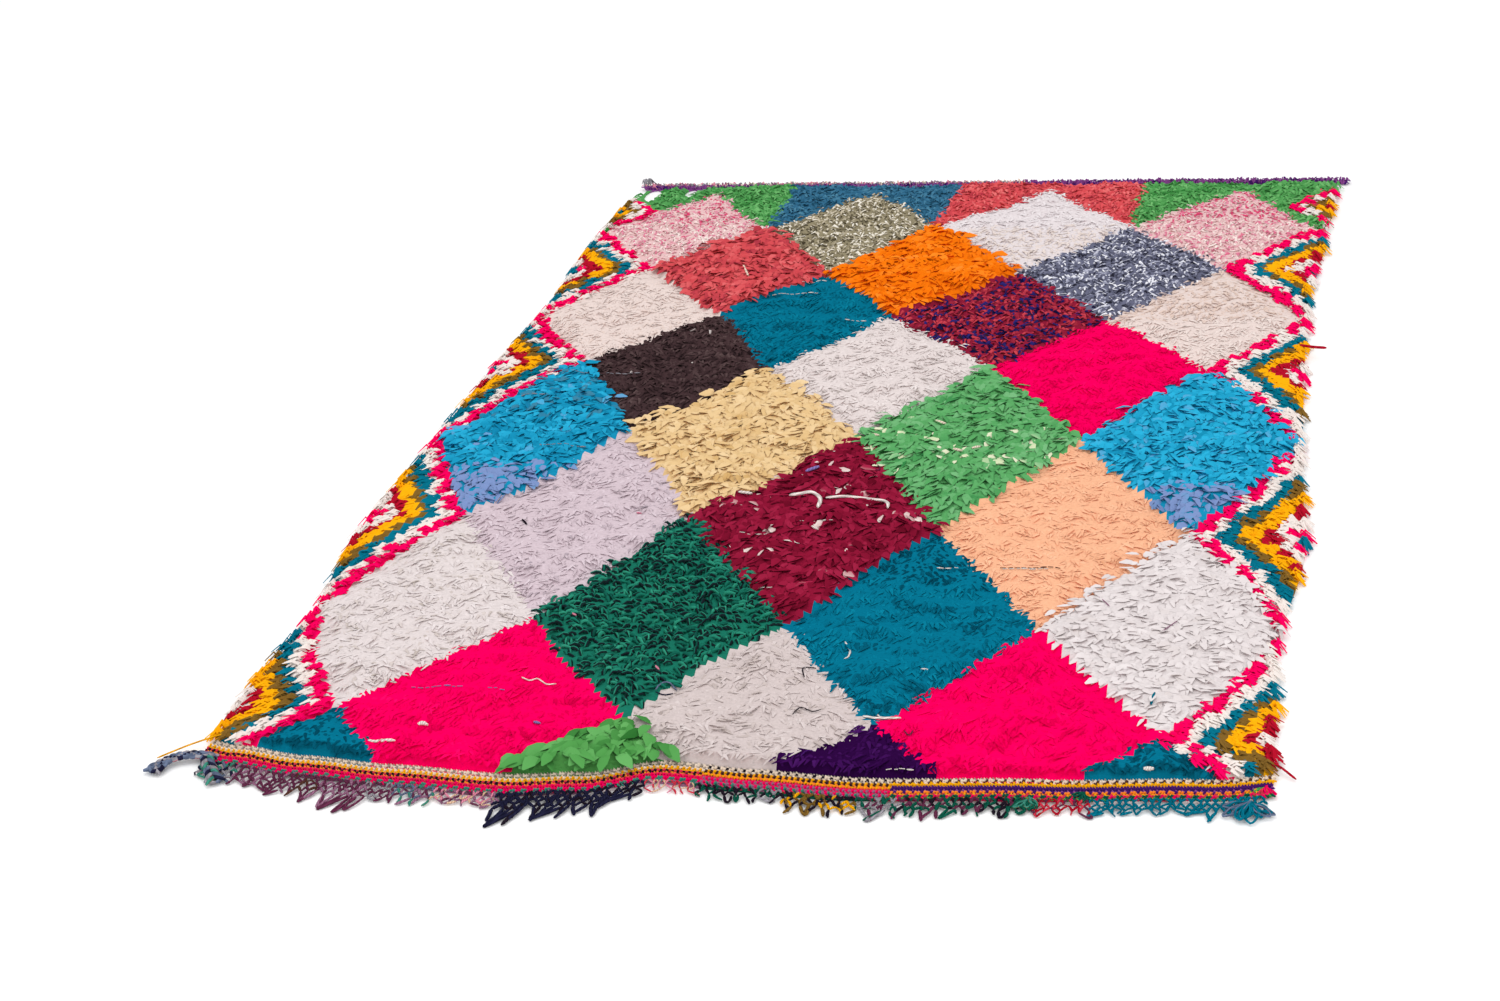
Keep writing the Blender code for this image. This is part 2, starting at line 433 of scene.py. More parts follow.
YARNS = {
    "teal": Yarn("wool", ((0, "043C4E"), (0.35, "065A72"), (0.55, "06708C"), (1, "0E8AA6"))),
    "hot_pink": Yarn("wool", ((0, "C0003C"), (0.35, "E6004E"), (0.6, "F8005C"), (1, "FF106C"))),
    "violet": Yarn("wool", ((0, "180428"), (0.4, "2C083E"), (0.6, "3A0F50"), (1, "52206C"))),
    # In the matted yarns the first shade is darker, so a few dark strands stand in as painted shade in the
    # crevices between tufts, besides the wool's own tone.
    "ecru": Yarn("matted", ((0, "A29490"), (0.25, "C6B8B4"), (0.5, "CEC0BE"), (1, "DACECC")), 0.3),
    "warm_white": Yarn("matted", ((0, "B4A8A0"), (0.25, "D4C8C4"), (0.5, "DCD1D0"), (1, "E6DCDC")), 0.3),
    "lilac": Yarn("matted", ((0, "A0929C"), (0.25, "C6B4BC"), (0.5, "D0BEC6"), (1, "DCCCD4")), 0.3),
    "soft_white": Yarn("matted", ((0, "B0A4A0"), (0.25, "D6CAC8"), (0.5, "E0D4D2"), (1, "EAE0DE")), 0.3),
    "cream": Yarn("matted", ((0, "CDB4A8"), (0.2, "DEC6BA"), (0.45, "E4D2CC"), (1, "ECDED8"))),
    "two_whites": Yarn("matted", ((0, "DCCCC4"), (0.25, "E6D8D2"), (0.6, "E2D8DA"), (1, "EAE2E4"))),
    "peach": Yarn("matted", ((0, "DE9C76"), (0.4, "F2B48F"), (1, "FCC4A0"))),
    "white_rag": Yarn("petal", ((0, "D0C6C4"), (0.4, "DAD1D1"), (1, "E2DADA")), 0.25),
    "leaf_green": Yarn("leaf", ((0, "266428"), (0.5, "50964C"), (1, "6CB066")), 0.35),
    "bottle_green": Yarn("strip", ((0, "0E3C36"), (0.5, "1C7460"), (1, "34967A")), 0.4),
    "burgundy": Yarn("rag", ((0, "580A1C"), (0.5, "8A1634"), (0.9, "A02444"), (1, "E8DAD4")), 0.25),
    "turquoise": Yarn(
        "rag",
        ((0, "42809A"), (0.12, "107CA4"), (0.4, "188FB6"), (0.7, "2CAED6"), (0.84, "7A90C0")),
    ),
    "sand": Yarn("rag", ((0, "C8A064"), (0.35, "DEBC88"), (1, "EACEA2")), 0.2),
    "grass_green": Yarn(
        "rag",
        ((0, "2A7A40"), (0.4, "5AA462"), (0.85, "76B47C"), (0.95, "D8DEB8"), (1, "E4E4C8")),
        0.2,
    ),
    # The last shade of the brown-black rag, near white, is painted highlight: a few specks where light
    # catches the dark cloth.
    "brown_black": Yarn("tufted", ((0, "1E1618"), (0.5, "443234"), (0.97, "5C4A4A"), (1, "E4DCD8")), 0.28),
    "coral": Yarn("rag", ((0, "A03040"), (0.5, "D04C52"), (1, "E26C6E")), 0.3),
    "orange": Yarn("rag", ((0, "D45A04"), (0.5, "F4780E"), (0.8, "FC8A26"), (1, "F08C54"))),
    "maroon_navy": Yarn(
        "tufted",
        ((0, "100C30"), (0.3, "2E2870"), (0.42, "281C24"), (0.5, "8E1E38"), (1, "C84450")),
        0.5,
    ),
    "grey_heather": Yarn("clipped", ((0, "222230"), (0.4, "6A6C82"), (0.6, "B0B2C6"), (1, "F4F4FA")), 0.5),
    "pink_mix": Yarn("clipped", ((0, "D83C6C"), (0.3, "E08CA4"), (0.55, "E6C0C0"), (1, "F6E8E2")), 0.45),
    "khaki_mix": Yarn("clipped", ((0, "40382A"), (0.4, "948A70"), (0.6, "CABFA8"), (1, "F6F0E4")), 0.5),
    "sea_blue": Yarn("tufted", ((0, "1E4C64"), (0.5, "366C8C"), (1, "5086A0")), 0.4),
    "meadow_green": Yarn("tufted", ((0, "307836"), (0.5, "56A058"), (1, "78BC74")), 0.4),
    "far_coral": Yarn("tufted", ((0, "AC3442"), (0.5, "DA5258"), (1, "EA7676")), 0.4),
}
print(len(YARNS), "yarns")

# %% [markdown]
# ## The chart
# The chart is read line by line from the fringed end, as the weaver worked. Each row of the table is a
# corner line, and each entry the diamond whose middle lies on it, by its column. Behind the last whole
# diamonds the colours change on straight lines instead, so those knots are asked for apart.

# %% Chart of the diamonds
CHART = {
    0: {1: "teal", 3: "leaf_green", 5: "violet", 7: "teal"},
    1: {2: "hot_pink", 4: "ecru", 6: "hot_pink"},
    2: {1: "warm_white", 3: "bottle_green", 5: "teal", 7: "white_rag"},
    3: {2: "lilac", 4: "burgundy", 6: "peach"},
    4: {1: "turquoise", 3: "sand", 5: "grass_green", 7: "turquoise"},
    5: {2: "brown_black", 4: "soft_white", 6: "hot_pink"},
    6: {1: "cream", 3: "teal", 5: "maroon_navy", 7: "cream"},
    7: {2: "coral", 4: "orange", 6: "grey_heather"},
    8: {1: "pink_mix", 3: "khaki_mix", 5: "two_whites", 7: "pink_mix"},
}
FAR_COLOURS = ((2.0, "meadow_green"), (3.94, "sea_blue"), (6.0, "far_coral"), (9.0, "meadow_green"))


def yarn_at(column, line):
    """The yarn of the diamond at a place in the lattice, or None in the borders."""
    middle, row = diamond(column, line)
    if row in CHART:
        return CHART[row].get(middle)
    return next(name for limit, name in FAR_COLOURS if column < limit)


# %% Patches of another shade inside a diamond
class Patch(NamedTuple):
    """Part of a diamond, by its height from -1 to 1, where some knots take another place in the run."""

    column: int
    line: int
    low: float
    high: float
    share: float
    place: float


PATCHES = (
    Patch(5, 2, 0.40, 1.00, 0.75, 0.15),
    Patch(1, 0, -1.0, 1.00, 1.00, 0.18),
    Patch(7, 0, -1.0, 1.00, 1.00, 0.22),
    Patch(1, 4, -1.0, -0.48, 1.00, 0.92),
    Patch(1, 4, 0.15, 0.80, 0.35, 0.05),
    Patch(7, 4, -1.0, -0.58, 1.00, 0.92),
    Patch(7, 4, -0.58, 1.00, 1.00, 0.62),
    # Painted highlights: a few near-white specks on the brown-black rag.
    Patch(2, 5, -0.70, 0.80, 0.012, 1.00),
    Patch(5, 4, -0.35, 0.15, 0.14, 0.97),
    Patch(4, 3, -0.40, 0.70, 0.05, 0.99),
    Patch(4, 3, 0.30, 1.00, 0.30, 0.22),
    Patch(1, 6, -1.0, 1.00, 0.80, 0.45),
    Patch(7, 6, -0.10, 1.00, 1.00, 0.20),
    Patch(7, 6, -1.0, -0.10, 1.00, 0.70),
    Patch(5, 8, -0.10, 1.00, 1.00, 0.88),
    Patch(5, 8, -1.0, -0.10, 1.00, 0.22),
    Patch(1, 8, 0.10, 1.00, 1.00, 0.38),
    Patch(7, 8, 0.10, 1.00, 1.00, 0.34),
    Patch(1, 8, -1.0, 0.10, 1.00, 0.60),
    Patch(7, 8, -1.0, 0.10, 1.00, 0.58),
)


LOT_STRAY = 0.42
LOTS_ACROSS = 2.6
LOTS_ALONG = 19
PATCH_STRAY = 0.04
CLUMPS_ACROSS = 7
CLUMPS_ALONG = 16
CLUMP_CHANCE = 9
WHOLE_PATCH = 0.5


def clumped(column, line, share):
    """The chance of another shade: over a whole patch, or in clumps where only few knots take it."""
    if share > WHOLE_PATCH:
        return share
    clump = noise.noise(Vector((column * CLUMPS_ACROSS, line * CLUMPS_ALONG, 7.0)))
    return CLUMP_CHANCE * share * max(0.0, clump)


def shade_place(column, line, dice):
    """Where in its yarn's run of shades a knot lies. Each lot of yarn lasts for part of a row."""
    middle, row = diamond(column, line)
    height = line - row + dice.gauss(0, PATCH_STRAY)
    for patch in PATCHES:
        inside = (patch.column, patch.line) == (middle, row) and patch.low <= height < patch.high
        if inside and dice.random() < clumped(column, line, patch.share):
            return patch.place
    return 0.5 + LOT_STRAY * noise.noise(Vector((column * LOTS_ACROSS, line * LOTS_ALONG, 2.0)))


print("diamond in the middle:", yarn_at(*lattice(0.0, 0.0)))

# %% [markdown]
# ## The zig-zag borders
# Down both long sides, the half diamonds are filled with nested chevrons. Their bands always come in
# the same order, counted inwards from the side of the diamond. The small knots here use many colours
# at once, so they share one card of dyes, where each dye has a lane of its own.

# %% The card of dyes
CARD = {
    "pink": "F5055F", "white": "ECE2DC", "teal": "08728A", "olive": "80602A", "yellow": "F8B010",
    "red": "B4142C", "black": "241C28", "violet": "4A1E6C", "orange": "F88A30", "sage": "3F8A78",
    "blue_grey": "66728C", "plum": "68304C", "mauve": "9A6A86", "sand": "E8C0A0", "navy": "23233C",
    "bottle": "125A48", "coral": "DC3C50", "grey": "9A969E", "lilac": "8A78B8", "rose": "E890A8",
    "purple": "8C4A92", "cream": "F0DCC8", "brown": "5A3830", "grass": "48A850",
    "stone": "A09488",
}
LANES = len(CARD)
print("dyes on the card:", LANES)


def lane(name):
    """The middle of a dye's lane, from 0 to 1 across the card."""
    return (list(CARD).index(name) + 0.5) / LANES


# %% Chevrons
class Band(NamedTuple):
    dye: str
    wide: float


CHEVRON = (
    Band("pink", 0.021),
    Band("white", 0.019),
    Band("teal", 0.019),
    Band("olive", 0.013),
    Band("yellow", 0.026),
    Band("red", 0.016),
    Band("white", 0.020),
    Band("pink", 0.018),
    Band("teal", 0.050),
)
FAR_CHEVRON = (
    Band("pink", 0.020),
    Band("white", 0.014),
    Band("olive", 0.014),
    Band("yellow", 0.018),
    Band("red", 0.014),
    Band("teal", 0.050),
)
FAR_CHEVRON_AT = 1.034
FAR_CHEVRON_LONG = 0.125
FAR_CHEVRON_WIDE = 0.100
FAR_CHEVRON_EDGES = (-0.712, 0.720)


def band_of(bands, depth):
    """The dye of the band that lies at this depth behind the chevron's side."""
    for band in bands:
        depth -= band.wide
        if depth < 0:
            return band.dye
    return bands[-1].dye


def border_dye(x, y, column, line):
    """The border's dye at a place, or None where a diamond lies."""
    inward = min(max(column, 0), max(8 - column, 0))
    depth = (1 - inward - abs(line - 2 * math.floor(line / 2) - 1)) * DIAMOND_HALF
    if depth > 0 and line < 8:
        return band_of(CHEVRON, depth)
    inward = min(abs(x - edge) for edge in FAR_CHEVRON_EDGES) / FAR_CHEVRON_WIDE
    depth = (1 - inward - abs(y - FAR_CHEVRON_AT) / FAR_CHEVRON_LONG) * FAR_CHEVRON_WIDE
    return band_of(FAR_CHEVRON, depth) if depth > 0 else None


print("border at the left edge, half way:", border_dye(-0.70, 0.20, *lattice(-0.70, 0.20)))

# %% [markdown]
# ## Tying the knots
# The weaver ties one row across the whole rug, beats it down with weft and starts the next. We do the
# same: walk along each row, ask the chart for the yarn, and step on by that yarn's own spacing. Each
# row is tied twice, a little apart, because both ends of a knot stand up. What comes out is only a
# cloud of points with a few numbers on each. The strands grow from it in the next step.

# %% Height of the pile
WOOL_HIGH = 0.018
RAG_HIGH = 0.024
LUMP_HIGH = 0.006
LUMP_WIDE = 0.085
CLUMP_HIGH = 0.005
CLUMP_WIDE = 0.031
VALLEY_DEEP = 0.005
VALLEY_WIDE = 0.09
BED_SLOPE = 0.024
END_SLOPE = 0.010
FAR_LOW = 0.80
FAR_SLOPE = 0.070


class Hole(NamedTuple):
    """A worn hole through the cloth."""

    across: float
    along: float
    wide: float
    deep: float


HOLES = (
    Hole(-0.658, 1.173, 0.034, 0.082),
    Hole(-0.580, 1.186, 0.026, 0.056),
)
WORN_LOW = 0.14
WORN_WIDE = 1.3


def worn(x, y):
    """How much of the pile is left: all of it, but for the short stubs around a hole."""
    gaps = [math.hypot((x - h.across) / h.wide, (y - h.along) / h.deep) * 2 - 1 for h in HOLES]
    return min(1.0, WORN_LOW + (1 - WORN_LOW) * max(0.0, min(gaps)) / WORN_WIDE)


def pile_high(x, y, column, line, tall):
    """The shag's height: lumpy, taller in rag than in wool, and lower where two diamonds meet."""
    one, two = (column + line) / 2, (column - line) / 2
    edge = min(abs(one - round(one)), abs(two - round(two)))
    valley = VALLEY_DEEP * math.exp(-((edge / VALLEY_WIDE) ** 2))
    lump = LUMP_HIGH * noise.noise(Vector((x / LUMP_WIDE, y / LUMP_WIDE, 0.3)))
    clump = CLUMP_HIGH * noise.noise(Vector((x / CLUMP_WIDE, y / CLUMP_WIDE, 1.7)))
    beaten = min(1.0, FAR_LOW + (1 - FAR_LOW) * (FAR_END - y) / FAR_SLOPE)
    return ((RAG_HIGH if tall else WOOL_HIGH) - valley + lump + clump) * beaten * worn(x, y)


def bed_high(x, y, high, kind):
    """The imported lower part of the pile, which slopes down to the weave at the sides and the ends."""
    left, right = reach(y)
    from_sides = min(x - left, right - x) - LOCK_REACH + 0.004
    from_ends = min(y - near_end(x) - NEAR_BAND_DEEP, FAR_END - FAR_BAND_DEEP - y)
    slope = max(0.0, min(1.0, from_sides / BED_SLOPE, from_ends / END_SLOPE))
    return GROUND_THICK + (kind.bed * high - GROUND_THICK) * slope


# %% Walk along the rows
class Knot(NamedTuple):
    """One end of a knot: its root, how far it rises and falls from it, where it points, its shade."""

    x: float
    y: float
    z: float
    high: float
    heading: float
    dye: float
    fall: float


TALL_KINDS = ("rag", "leaf", "petal", "strip")
PINK_GAPS = 0.12
SLIP = 0.0035
BORDER_LEAN = 64
SWIRL_WIDE = 0.05
SWIRLS = {
    "wool": 30,
    "matted": 60,
    "rag": 120,
    "leaf": 60,
    "petal": 170,
    "strip": 120,
    "clipped": 60,
    "tufted": 60,
}
SECOND_END = 0.0098
ROOT_STRAY = 0.0014
TIP_LEAN = 0.012
ROOT_DEEP = 0.0010
STEP_ACROSS = 0.014
NEAR_MEAN = 1.11
BORDER_ENDS = 7
BORDER_SWIRL = 50
BORDER_FAN = 24
BUNDLE_TURN = 2.4
BUNDLE_WIDE = 0.0066
SIDE_LEAN = 56
SIDE_WIDE = 0.030
ARCH = 2.75
TIP_HIGH = math.sin(ARCH)
CLEAR_BEHIND = 0.010
CLEAR_ACROSS = 0.012
CLEAR_ALONG = 0.026


def in_hole(x, y):
    """True over a worn hole, and beside and behind it, where the ends would hang into it."""
    for hole in HOLES:
        across = (x - hole.across) / (hole.wide + CLEAR_ACROSS)
        along = (y - CLEAR_BEHIND - hole.along) / (hole.deep + CLEAR_ALONG)
        if across ** 2 + along ** 2 < 0.25:
            return True
    return False


def rug_row(share):
    """The y of a row at any x, from its share of the way along."""
    return lambda x: near_end(x) * (1 - share) + FAR_END * share


def edge_lean(x, left, right):
    """Near a long side the ends fall outwards: the heading there, and how close the side is."""
    from_left, from_right = x - left, right - x
    side = -1 if from_left < from_right else 1
    close = max(0.0, 1 - min(from_left, from_right) / SIDE_WIDE)
    return side * SIDE_LEAN * close ** 0.7, close


def knot_end(x, y, top, kind, lean, heading, shade):
    """One end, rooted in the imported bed. Close to a side its tip falls to the floor."""
    root = bed_high(x, y, top, kind) - ROOT_DEEP
    rise = max(0.002, top - root)
    return Knot(x, y, root, rise, heading, shade, lean * (root + TIP_HIGH * rise - 0.002))


def stepped(x, row):
    """A chart is read in whole knots, so the slanting side of a diamond climbs in small steps."""
    shift = 0.5 * (row % 2)
    return (math.floor(x / STEP_ACROSS + shift) + 0.5 - shift) * STEP_ACROSS


def tie_knots():
    """Ties every row, and returns the knots of each yarn and those of the borders."""
    dice = random.Random(20)
    tied = {name: [] for name in YARNS}
    edges = {"left": [], "right": []}
    length = FAR_END + NEAR_MEAN
    first, last = (NEAR_BAND_DEEP + 0.006) / length, 1 - FAR_BAND_DEEP / length
    rows = round((last - first) * length / ROW_PITCH)
    for row in range(rows):
        row_y = rug_row(first + (last - first) * (row + 0.35) / rows)
        for end in range(2):
            tie_row(row, row_y, end, dice, tied, edges)
    return tied, edges


def tie_row(row, row_y, end, dice, tied, edges):
    """Ties one row, from the left side to the right."""
    left, right = reach(row_y(0))
    left, right = left + LOCK_REACH, right - LOCK_REACH
    x = left + dice.uniform(0.001, 0.004)
    while x < right:
        y = row_y(x) + dice.gauss(0, ROOT_STRAY)
        chart_x = stepped(x, row)
        column, line = lattice(chart_x, row_y(chart_x) - TIP_LEAN)
        slip_x, slip_y = x + dice.gauss(0, SLIP), y - TIP_LEAN + dice.gauss(0, SLIP)
        card_dye = border_dye(slip_x, slip_y, *lattice(slip_x, slip_y))
        heading, close = edge_lean(x, left, right)
        swirl = noise.noise(Vector((x / SWIRL_WIDE, y / SWIRL_WIDE, 4.0)))
        if card_dye == "pink" and dice.random() < PINK_GAPS:
            card_dye = "white"
        if card_dye:
            if end == 0 and not in_hole(x, y):
                add_border_knot(x, y, close, swirl, card_dye, dice, edges)
            x += BORDER_KIND.pitch * dice.uniform(0.9, 1.1) if end == 0 else BORDER_KIND.pitch
            continue
        name = yarn_at(column, line) or "warm_white"
        kind = KINDS[YARNS[name].kind]
        place_y = y + end * SECOND_END + dice.uniform(-0.0015, 0.0015)
        tall = YARNS[name].kind in TALL_KINDS
        top = pile_high(x, place_y, *lattice(x, place_y), tall) * dice.uniform(0.94, 1.03)
        if not in_hole(x, place_y):
            shade = shade_place(column, line, dice)
            if YARNS[name].kind == "strip":
                heading += dice.choice((-90, 90))
            heading += SWIRLS.get(YARNS[name].kind, 0) * swirl * (1 - close)
            tied[name].append(knot_end(x, place_y, top, kind, close, heading, shade))
        x += kind.pitch * dice.uniform(0.8, 1.2)


def add_border_knot(x, y, close, swirl, card_dye, dice, edges):
    """A border knot is a small round bundle of wool ends in one colour, brushed outwards."""
    side = edges["left" if x < 0 else "right"]
    lean = math.copysign(BORDER_LEAN + BORDER_SWIRL * swirl, x)
    for end in range(BORDER_ENDS):
        turn = end * BUNDLE_TURN
        out = BUNDLE_WIDE * math.sqrt((end + 0.5) / BORDER_ENDS)
        top = WOOL_HIGH * worn(x, y) * dice.uniform(0.80, 1.05)
        fan = BORDER_FAN * math.sin(turn)
        knot_x = x - math.copysign(0.006, x) + out * 0.8 * math.cos(turn)
        knot_y = y - 0.004 + out * 1.3 * math.sin(turn)
        side.append(knot_end(knot_x, knot_y, top, BORDER_KIND, close, lean + fan, lane(card_dye)))


tied, edges = tie_knots()
print("ends of rag and wool:", sum(map(len, tied.values())))
print("ends in the borders:", len(edges["left"]), "and", len(edges["right"]))

# %% [markdown]
# ## Growing the strands
# Every strand could be modelled, but there are tens of thousands. A Geometry Nodes tree grows them: a
# short line is bent into an arch, set on each knot, turned and scaled by the numbers there, and given
# a body that swells and tapers. Each strand also gets its own strip of the map, a lane for its shade
# across and its length upwards, so that one finish can colour, stripe and darken it from root to tip.

# %% The tree of strands
STRAND_INPUTS = {
    "Length": "NodeSocketFloat",
    "Half width": "NodeSocketFloat",
    "Thickness": "NodeSocketFloat",
    "Tip": "NodeSocketFloat",
    "Points": "NodeSocketInt",
    "Fan": "NodeSocketFloat",
    "Roll": "NodeSocketFloat",
    "Wobble": "NodeSocketFloat",
    "Shade stray": "NodeSocketFloat",
    "Sides": "NodeSocketInt",
    "Smooth": "NodeSocketBool",
    "Seed": "NodeSocketInt",
    "Yarn": "NodeSocketMaterial",
}
MAP_NAME = "OFBake"


def new_tree(name, inputs):
    """An empty Geometry Nodes tree with its named inputs, and the wire of its input node."""
    tree = bpy.data.node_groups.new(name, "GeometryNodeTree")
    tree.interface.new_socket("Knots", in_out="INPUT", socket_type="NodeSocketGeometry")
    for title, kind in inputs.items():
        tree.interface.new_socket(title, in_out="INPUT", socket_type=kind)
    tree.interface.new_socket("Piece", in_out="OUTPUT", socket_type="NodeSocketGeometry")
    board = Board(tree)
    return board, board.add("NodeGroupInput")


def chance(board, low, high, seed):
    """A random number for each knot, strand or point."""
    settings = {"data_type": "FLOAT"}
    return board.add("FunctionNodeRandomValue", settings, {2: low, 3: high, 8: seed}, out=1)


def named(board, name):
    """A number that is stored on the points."""
    return board.add("GeometryNodeInputNamedAttribute", {"data_type": "FLOAT"}, {"Name": name})


def stored(board, geometry, name, value):
    """Keeps a number on the points under a name."""
    settings = {"data_type": "FLOAT", "domain": "POINT"}
    inputs = {"Geometry": geometry, "Name": name, "Value": value}
    return board.add("GeometryNodeStoreNamedAttribute", settings, inputs)


def round_profile(board, sides, thickness):
    """The strand's cross-section, one unit to each side, with its place across stored on it."""
    ring = board.add("GeometryNodeCurvePrimitiveCircle", inputs={"Resolution": sides, "Radius": 1.0})
    settings = {"Rotation": (0, 0, -math.pi / 2), "Scale": (1.1, 1.1, 1)}
    turned_ring = board.add("GeometryNodeTransform", inputs={"Geometry": ring, **settings})
    spot = board.add("ShaderNodeSeparateXYZ", inputs={0: board.add("GeometryNodeInputPosition")})
    marked = stored(board, turned_ring, "across", (spot["X"] * 0.5 + 0.5).within(0, 1))
    flat = board.vector(1.0, thickness, 1.0)
    return board.add("GeometryNodeTransform", inputs={"Geometry": marked, "Scale": flat})


def finished(board, body, smooth, material):
    """The end of each tree: the map, smooth or flat faces, real geometry and the finish."""
    lane_wire, across, along = named(board, "lane"), named(board, "across"), named(board, "along")
    place = board.vector((lane_wire + across * 0.88 + 0.06) / LANES, along * 0.96 + 0.02)
    settings = {"data_type": "FLOAT2", "domain": "CORNER"}
    inputs = {"Geometry": body, "Name": MAP_NAME, "Value": place}
    mapped = board.add("GeometryNodeStoreNamedAttribute", settings, inputs)
    shaded = board.add("GeometryNodeSetShadeSmooth", inputs={"Geometry": mapped, "Shade Smooth": smooth})
    real = board.add("GeometryNodeRealizeInstances", inputs={"Geometry": shaded})
    dressed = board.add("GeometryNodeSetMaterial", inputs={"Geometry": real, "Material": material})
    board.add("NodeGroupOutput", inputs={0: dressed})
    return board.tree


def strand_tree():
    """Sets an arch on every knot, lets it sway and fall, and gives it a body."""
    board, given = new_tree("knotted_strands", STRAND_INPUTS)
    seed = given["Seed"]
    shade = named(board, "dye") + chance(board, -1.0, 1.0, seed) * given["Shade stray"]
    knots = stored(board, given, "lane", (shade * LANES).whole().within(0, LANES - 1))
    knots = stored(board, knots, "roll", chance(board, -1.0, 1.0, seed + 1) * given["Roll"])
    knots = stored(board, knots, "girth", chance(board, 0.7, 1.15, seed + 2))

    line = board.add("GeometryNodeCurvePrimitiveLine", inputs={"Start": (0, 0, 0), "End": (0, -1, 0)})
    line = board.add("GeometryNodeResampleCurve", inputs={"Curve": line, "Count": given["Points"]})
    t = board.add("GeometryNodeSplineParameter")
    arch = board.vector(0.0, t * t * -0.75 - t * 0.25, (t * ARCH).sine())
    line = board.add("GeometryNodeSetPosition", inputs={"Geometry": line, "Position": arch})

    heading = named(board, "heading") + chance(board, -1.0, 1.0, seed + 3) * given["Fan"]
    turn = board.add("FunctionNodeEulerToRotation", inputs={0: board.vector(0.0, 0.0, heading)})
    length = given["Length"] * chance(board, 0.7, 1.2, seed + 4)
    size = board.vector(1.0, length, named(board, "high"))
    inputs = {"Points": knots, "Instance": line, "Rotation": turn, "Scale": size}
    strands = board.add("GeometryNodeInstanceOnPoints", inputs=inputs)
    strands = board.add("GeometryNodeRealizeInstances", inputs={"Geometry": strands})
    strands = stored(board, strands, "along", t)

    spot = board.add("GeometryNodeInputPosition")
    drift = board.add("ShaderNodeTexNoise", inputs={"Vector": spot, "Scale": 95.0}, out="Color")
    middle = (0.5, 0.5, 0.5)
    centred = board.add("ShaderNodeVectorMath", {"operation": "SUBTRACT"}, {0: drift, 1: middle})
    sway = board.scaled(centred, given["Wobble"] * t * 2)
    sag = board.vector(0.0, 0.0, named(board, "fall") * t * t * -1)
    both = board.add("ShaderNodeVectorMath", {"operation": "ADD"}, {0: sway, 1: sag})
    strands = board.add("GeometryNodeSetPosition", inputs={"Geometry": strands, "Offset": both})

    strands = board.add("GeometryNodeSetCurveNormal", {"mode": "Z_UP"}, {"Curve": strands})
    inputs = {"Curve": strands, "Tilt": named(board, "roll")}
    strands = board.add("GeometryNodeSetCurveTilt", inputs=inputs)
    swell = (t * 2.70 + 0.32).sine() * (1 - given["Tip"]) + given["Tip"]
    wide = swell * given["Half width"] * named(board, "girth")
    profile = round_profile(board, given["Sides"], given["Thickness"])
    inputs = {"Curve": strands, "Profile Curve": profile, "Scale": wide, "Fill Caps": True}
    body = board.add("GeometryNodeCurveToMesh", inputs=inputs)
    return finished(board, body, given["Smooth"], given["Yarn"])


STRANDS = strand_tree()
print("nodes in the tree of strands:", len(STRANDS.nodes))


# %% Turn a tree's result into a plain piece
WORKING_NUMBERS = ("high", "heading", "dye", "fall", "lane", "roll", "girth", "along", "across", "wide")


def grown(name, points, tree, values):
    """Runs a tree on a mesh of points and returns its result as a plain object."""
    holder = bpy.data.objects.new(name + "_holder", points)
    bpy.context.scene.collection.objects.link(holder)
    modifier = holder.modifiers.new(name, "NODES")
    modifier.node_group = tree
    for title, value in values.items():
        modifier[tree.interface.items_tree[title].identifier] = value
    graph = bpy.context.evaluated_depsgraph_get()
    mesh = bpy.data.meshes.new_from_object(
        holder.evaluated_get(graph), preserve_all_data_layers=True, depsgraph=graph
    )
    holder.modifiers.remove(modifier)
    bpy.data.objects.remove(holder)
    for number in WORKING_NUMBERS:
        if number in mesh.attributes:
            mesh.attributes.remove(mesh.attributes[number])
    mesh.name = name
    piece = bpy.data.objects.new(name, mesh)
    bpy.context.scene.collection.objects.link(piece)
    print(f"{name}: {sum(len(f.vertices) - 2 for f in mesh.polygons)} triangles")
    return piece


def grow_strands(name, knots, values):
    """Strands from a list of knots."""
    points = bpy.data.meshes.new(name + "_knots")
    points.from_pydata([(k.x, k.y, k.z) for k in knots], [], [])
    for number in ("high", "heading", "dye", "fall"):
        column = [getattr(k, number) for k in knots]
        if number == "heading":
            column = [math.radians(c) for c in column]
        points.attributes.new(number, "FLOAT", "POINT").data.foreach_set("value", column)
    return grown(name, points, STRANDS, values)


def strand_values(kind, stray, seed, material, sides=3):
    """What the tree of strands is told for a kind."""
    return {
        "Length": kind.long,
        "Half width": kind.half_wide,
        "Thickness": kind.thick,
        "Tip": kind.tip,
        "Points": kind.points,
        "Fan": math.radians(kind.fan),
        "Roll": math.radians(kind.roll),
        "Wobble": kind.wobble,
        "Shade stray": stray,
        "Sides": sides,
        "Smooth": kind.smooth,
        "Seed": seed,
        "Yarn": material,
    }


# %% [markdown]
# ## Finishes for wool and rag
# Old wool and washed rags have no gloss at all, so the shine is switched off. The colour comes from the
# strand's lane, fine fibres run along it, and its root is darker, as little light gets down there. All
# of it is drawn on the strand's own map, so it never slides.

# %% Yarn finish
def new_finish(name, roughness):
    """A plain finish without gloss, its board and its shader."""
    finish = bpy.data.materials.new(name)
    finish.use_nodes = True
    shader = finish.node_tree.nodes["Principled BSDF"]
    shader.inputs["Roughness"].default_value = roughness
    shader.inputs["Specular IOR Level"].default_value = 0.0
    return finish, Board(finish.node_tree), shader


def painted(finish, board, shader, colour, bump):
    """The last step of each finish: its colour and its relief go to the shader."""
    for wire, socket in ((colour, "Base Color"), (bump, "Normal")):
        board.tree.links.new(wire.socket, shader.inputs[socket])
    return finish


def map_place(board):
    """The place on a strand's map: its lane across, and its length upwards."""
    spot = board.add("ShaderNodeUVMap", {"uv_map": MAP_NAME})
    part = board.add("ShaderNodeSeparateXYZ", inputs={0: spot})
    return part["X"], part["Y"]


